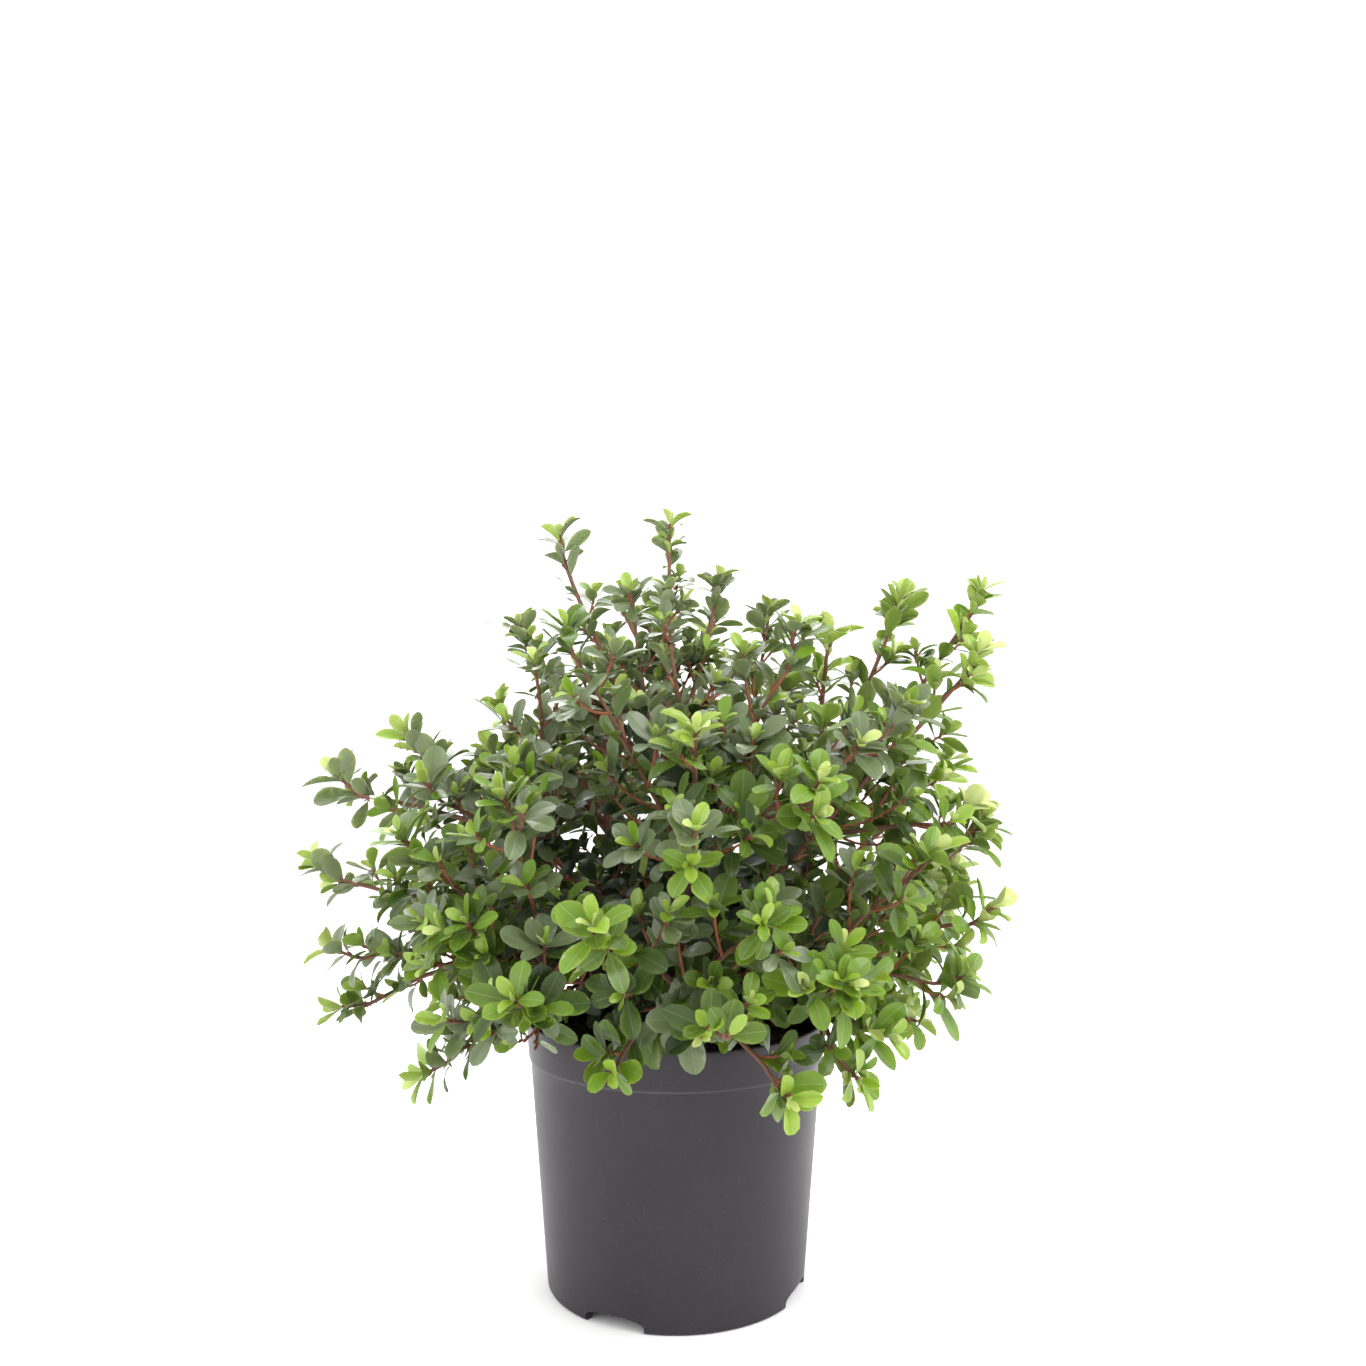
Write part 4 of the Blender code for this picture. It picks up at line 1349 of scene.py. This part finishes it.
def cut_notch(pot, azimuth):
    """Cuts an arched wedge out of the base's edge, through the wall and the floor."""
    inner = POT_BASE_RADIUS - NOTCH_DEPTH
    outer = POT_BASE_RADIUS + NOTCH_DEPTH
    low = UP * -NOTCH_HEIGHT
    rings = []
    for step in range(NOTCH_STEPS + 1):
        share = step / NOTCH_STEPS
        out = direction(azimuth + NOTCH_WIDTH * (share - 0.5), 0.0)
        arch = NOTCH_END_SHARE + (1.0 - NOTCH_END_SHARE) * math.sqrt(math.sin(math.pi * share))
        high = UP * (NOTCH_HEIGHT * arch)
        rings += [out * inner + low, out * inner + high, out * outer + high, out * outer + low]
    cutter = link("notch_cutter", tube_mesh("notch_cutter", [(np.array([point[:] for point in rings]), 4)]))
    apply_modifier(pot, "notch", "BOOLEAN", operation="DIFFERENCE", object=cutter)
    bpy.data.objects.remove(cutter, do_unlink=True)


# Potting soil

def soil_height(x, y):
    """The soil's loose surface, level round the stem's foot, with finer crumbs than the solid has."""
    radius = math.hypot(x, y)
    spread = min(1.0, max(0.0, radius / SOIL_LEVEL_RADIUS - 1.0))
    lumps = SOIL_LUMP * spread * noise.noise(Vector((x, y, SOIL_LUMP_SEED)) / SOIL_LUMP_SIZE)
    grains = sum(height * noise.noise(Vector((x, y, seed)) / size) for height, size, seed in SOIL_GRAINS)
    return SOIL_TOP + lumps + grains * min(1.0, max(0.0, radius / SOIL_FINE_RADIUS - 1.0))


def make_soil():
    """The plug of soil with a crumbly top, and loose crumbs and bark chips lying on it."""
    room = POT_WALL + 2 * GAP
    low = POT_RECESS + POT_FLOOR + GAP
    low_radius = outer_radius(low) - room
    radius = outer_radius(SOIL_TOP) - room
    outline = [(low_radius, low), ((low_radius + radius) / 2, SOIL_TOP / 2), (radius, SOIL_TOP - SOIL_EDGE)]
    below = len(outline) * SOIL_SEGMENTS
    for row in range(SOIL_ROWS + 1):
        outline.append((radius * (SOIL_ROWS_FROM - SOIL_ROWS_OVER * row / SOIL_ROWS), 0.0))
    points = turned_points(outline, SOIL_SEGMENTS)
    points[below:, 2] = [soil_height(x, y) for x, y, _ in points[below:]]
    plug = (points, tube_faces(len(outline), SOIL_SEGMENTS))
    mesh = mesh_from_arrays("soil_plug", *joined([plug, *crumbs(radius)]))
    return smooth(link("soil_plug", mesh, soil_material()))


def crumbs(top_radius):
    """Lumpy crumbs and flat bark chips, half sunk into the soil."""
    shape = bmesh.new()
    bmesh.ops.create_icosphere(shape, subdivisions=1, radius=1.0)
    base = np.array([vertex.co[:] for vertex in shape.verts])
    faces = np.array([[vertex.index for vertex in face.verts] for face in shape.faces])
    shape.free()
    rng = random.Random(SEED + 7)
    lumps = []
    for _ in range(CRUMBS):
        radius = top_radius * math.sqrt(rng.uniform(*CRUMB_SPREAD))
        angle = rng.uniform(0.0, math.tau)
        x = radius * math.cos(angle)
        y = radius * math.sin(angle)
        chip = rng.random() < CHIP_SHARE
        size = rng.uniform(*CRUMB_SIZES)
        stretch = CHIP_STRETCH if chip else (1.0, *(rng.uniform(*squeeze) for squeeze in CRUMB_SQUEEZES))
        turn = Matrix.Rotation(rng.uniform(0.0, math.tau), 3, "Z")
        turn = turn @ Matrix.Rotation(rng.uniform(-CRUMB_TILT, CRUMB_TILT), 3, "X")
        seed = Vector((x, y, 0.0)) * CRUMB_SEED_SCALE
        uneven = [1.0 + CRUMB_UNEVEN * noise.noise(Vector(point) * CRUMB_LUMPS + seed) for point in base]
        lump = (base * np.array(uneven)[:, None] * np.array(stretch) * size) @ np.array(turn).T
        lumps.append((lump + np.array((x, y, soil_height(x, y) + CRUMB_SUNK * size)), [faces]))
    return lumps


# Main stem and boughs

def bough_path(number, mass):
    axis = direction(*MASSES[mass])
    start = HUB + axis * (HUB_RADIUS / 2)
    end = HUB + axis * (bough_end(mass) + BOUGH_OVERLAP)
    aside = axis.cross(UP).normalized() * bough_end(mass) * BOUGH_BOW
    bend = (start + end) / 2 + (aside if number % 2 else -aside)
    return curve(start, bend, end, BOUGH_POINTS)


def stem_points():
    """The rings of the main stem: a lobed root flare, a neck and a round head."""
    outline = [(radius, STEM_FOOT + over, lobes) for radius, over, lobes in STEM_OUTLINE]
    head = HUB_RADIUS * HEAD_SHARE
    for rise in map(math.radians, HEAD_RISES):
        outline.append((head * math.cos(rise), HUB.z + head * math.sin(rise), 0.0))
    rings = []
    for radius, height, lobes in outline:
        for step in range(STEM_SIDES):
            angle = math.tau * step / STEM_SIDES
            out = radius * (1.0 + lobes * ROOT_LOBE_SHARE * math.cos(ROOT_LOBES * angle + ROOT_LOBE_TURN))
            rings.append((out * math.cos(angle), out * math.sin(angle), height))
    return np.array(rings)


def make_bark():
    """The main stem and boughs as one skin, with collars where they join and cracks along the grain."""
    tubes = [(stem_points(), STEM_SIDES)]
    axes = [[Vector((0.0, 0.0, STEM_FOOT)), HUB]]
    for number, mass in enumerate(MASSES):
        path = bough_path(number, mass)
        radii = np.linspace(BOUGH_BASE_RADIUS, BOUGH_TIP_RADIUS, len(path))
        radii[:3] = radii[:3] * BOUGH_COLLAR
        tubes.append((tube_points(path, radii, BOUGH_SIDES), BOUGH_SIDES))
        axes.append(path)
    bark = link("bark_skin", tube_mesh("bark_skin", tubes), bark_material())
    apply_modifier(bark, "one_skin", "REMESH", mode="VOXEL", voxel_size=BARK_FINENESS)
    crack(bark.data, axes)
    return smooth(bark)


def crack(mesh, axes):
    """Moves the skin in and out in ridges that run along the nearest limb."""
    places = read(mesh.vertices, "co", 3).reshape(-1, 3)
    normals = read(mesh.vertex_normals, "vector", 3).reshape(-1, 3)
    best = np.full(len(places), np.inf)
    along = np.zeros(len(places))
    out = np.zeros(places.shape)
    for start, end in [ends for path in axes for ends in zip(path, path[1:])]:
        start = np.array(start[:])
        run = np.array(end[:]) - start
        share = np.clip(((places - start) @ run) / (run @ run), 0.0, 1.0)
        offset = places - (start + share[:, None] * run)
        distance = np.linalg.norm(offset, axis=1)
        nearer = distance < best
        best = np.where(nearer, distance, best)
        along = np.where(nearer, places @ (run / np.linalg.norm(run)), along)
        out = np.where(nearer[:, None], offset / np.maximum(distance, LEAST_DISTANCE)[:, None], out)
    for index, (way, distance) in enumerate(zip(out, best)):
        place = Vector(way) * (RIDGE_ROUND * distance) + UP * (along[index] * RIDGE_ALONG)
        ridge = noise.noise(place) + RIDGE_FINER_SHARE * noise.noise(place * RIDGE_FINER)
        places[index] += normals[index] * ridge * RIDGE_HEIGHT * min(distance, RIDGE_DEEPEST)
    places[:, 2] = np.maximum(places[:, 2], STEM_FOOT)
    mesh.vertices.foreach_set("co", places.ravel())
    mesh.update()


# The model

def dress(piece, nodes):
    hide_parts(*nodes)
    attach(piece, "root")
    return piece


def leaf_cost(leaf):
    """How many triangles a leaf has."""
    rows, section = LEAF_MAKES[leaf.make]
    return 2 * len(section) * (len(rows) - 1) + 2 * (len(section) - 2)


def in_lots(leaves):
    """The leaves of one kind in lots that each stay under the limit of triangles."""
    lots = math.ceil(sum(map(leaf_cost, leaves)) / MOST_TRIANGLES)
    return [leaves[number::lots] for number in range(lots)]


def make_plant():
    foliage = ["foliage_" + mass for mass in MASSES]
    limbs = ["main_stem"] + ["bough_" + mass for mass in MASSES]
    dress(make_bark(), limbs)
    twigs, leaves, nodes = grow()
    old = twig_material("old_twig", OLD_TWIG_COLOUR, 0.66, 620.0)
    young = twig_material("young_twig", YOUNG_TWIG_COLOUR, 0.52, 900.0)
    for name, sides, finish in (("shoots", SHOOT_SIDES, old), ("side_twigs", SIDE_TWIG_SIDES, young)):
        dress(make_twigs([twig for twig in twigs if twig.sides == sides], name, finish), foliage)
    dress(make_leaf_bases(nodes, twig_material("leaf_base", LEAF_BASE_COLOUR, 0.6, 1100.0)), foliage)
    stalk = stalk_material("leaf_stalk", STALK_COLOUR)
    for kind, looks in LEAF_KINDS.items():
        rough, gloss = looks.roughness, looks.gloss
        blade = leaf_material("leaf_blade_" + kind, looks.blade, rough, gloss, 0.28, COAT_SHARE * gloss)
        back = leaf_material("leaf_back_" + kind, looks.back, rough + BACK_ROUGHER, gloss, 0.22, 0.0)
        rib = stalk_material("leaf_rib_" + kind, looks.rib)
        chosen = [leaf for leaf in leaves if leaf.kind == kind]
        for number, lot in enumerate(in_lots(chosen)):
            piece = make_leaves(lot, f"leaves_{kind}_{number + 1}", [blade, rib, back, stalk])
            dress(piece, foliage)
    print("twigs", len(twigs), "leaves", len(leaves), "triangles", sum(map(leaf_cost, leaves)))


def make_stage():
    """A wide pale floor, soft light from the front right, the left and behind, and a white surround."""
    disc = turned_points([(FLOOR_RADIUS, -FLOOR_DROP)], FLOOR_SIDES)
    mesh = mesh_from_arrays("floor", disc, [np.arange(FLOOR_SIDES)[None, :]])
    link("floor", mesh, floor_material())
    world = bpy.data.worlds.new("soft_surround")
    world.use_nodes = True
    surround = world.node_tree.nodes["Background"].inputs
    surround["Color"].default_value = (1.0, 1.0, 1.0, 1.0)
    surround["Strength"].default_value = SURROUND
    bpy.context.scene.world = world
    for name, (place, size, power) in LAMPS.items():
        lamp = add_object(name, bpy.data.lights.new(name, "AREA"))
        lamp.data.size = size
        lamp.data.energy = power
        lamp.location = place
        lamp.rotation_euler = (LAMP_TARGET - Vector(place)).to_track_quat("-Z", "Y").to_euler()
    bpy.context.scene.view_settings.view_transform = "Standard"


def make_camera():
    camera = add_object("photo_camera", bpy.data.cameras.new("photo_camera"))
    camera.data.lens = CAMERA_LENS
    camera.data.sensor_width = SENSOR_WIDTH
    camera.location = CAMERA_PLACE
    camera.rotation_euler = (math.radians(90.0), 0.0, 0.0)
    bpy.context.scene.camera = camera


make_camera()
make_stage()
dress(make_pot(), ["pot"])
dress(make_soil(), ["potting_soil"])
make_plant()
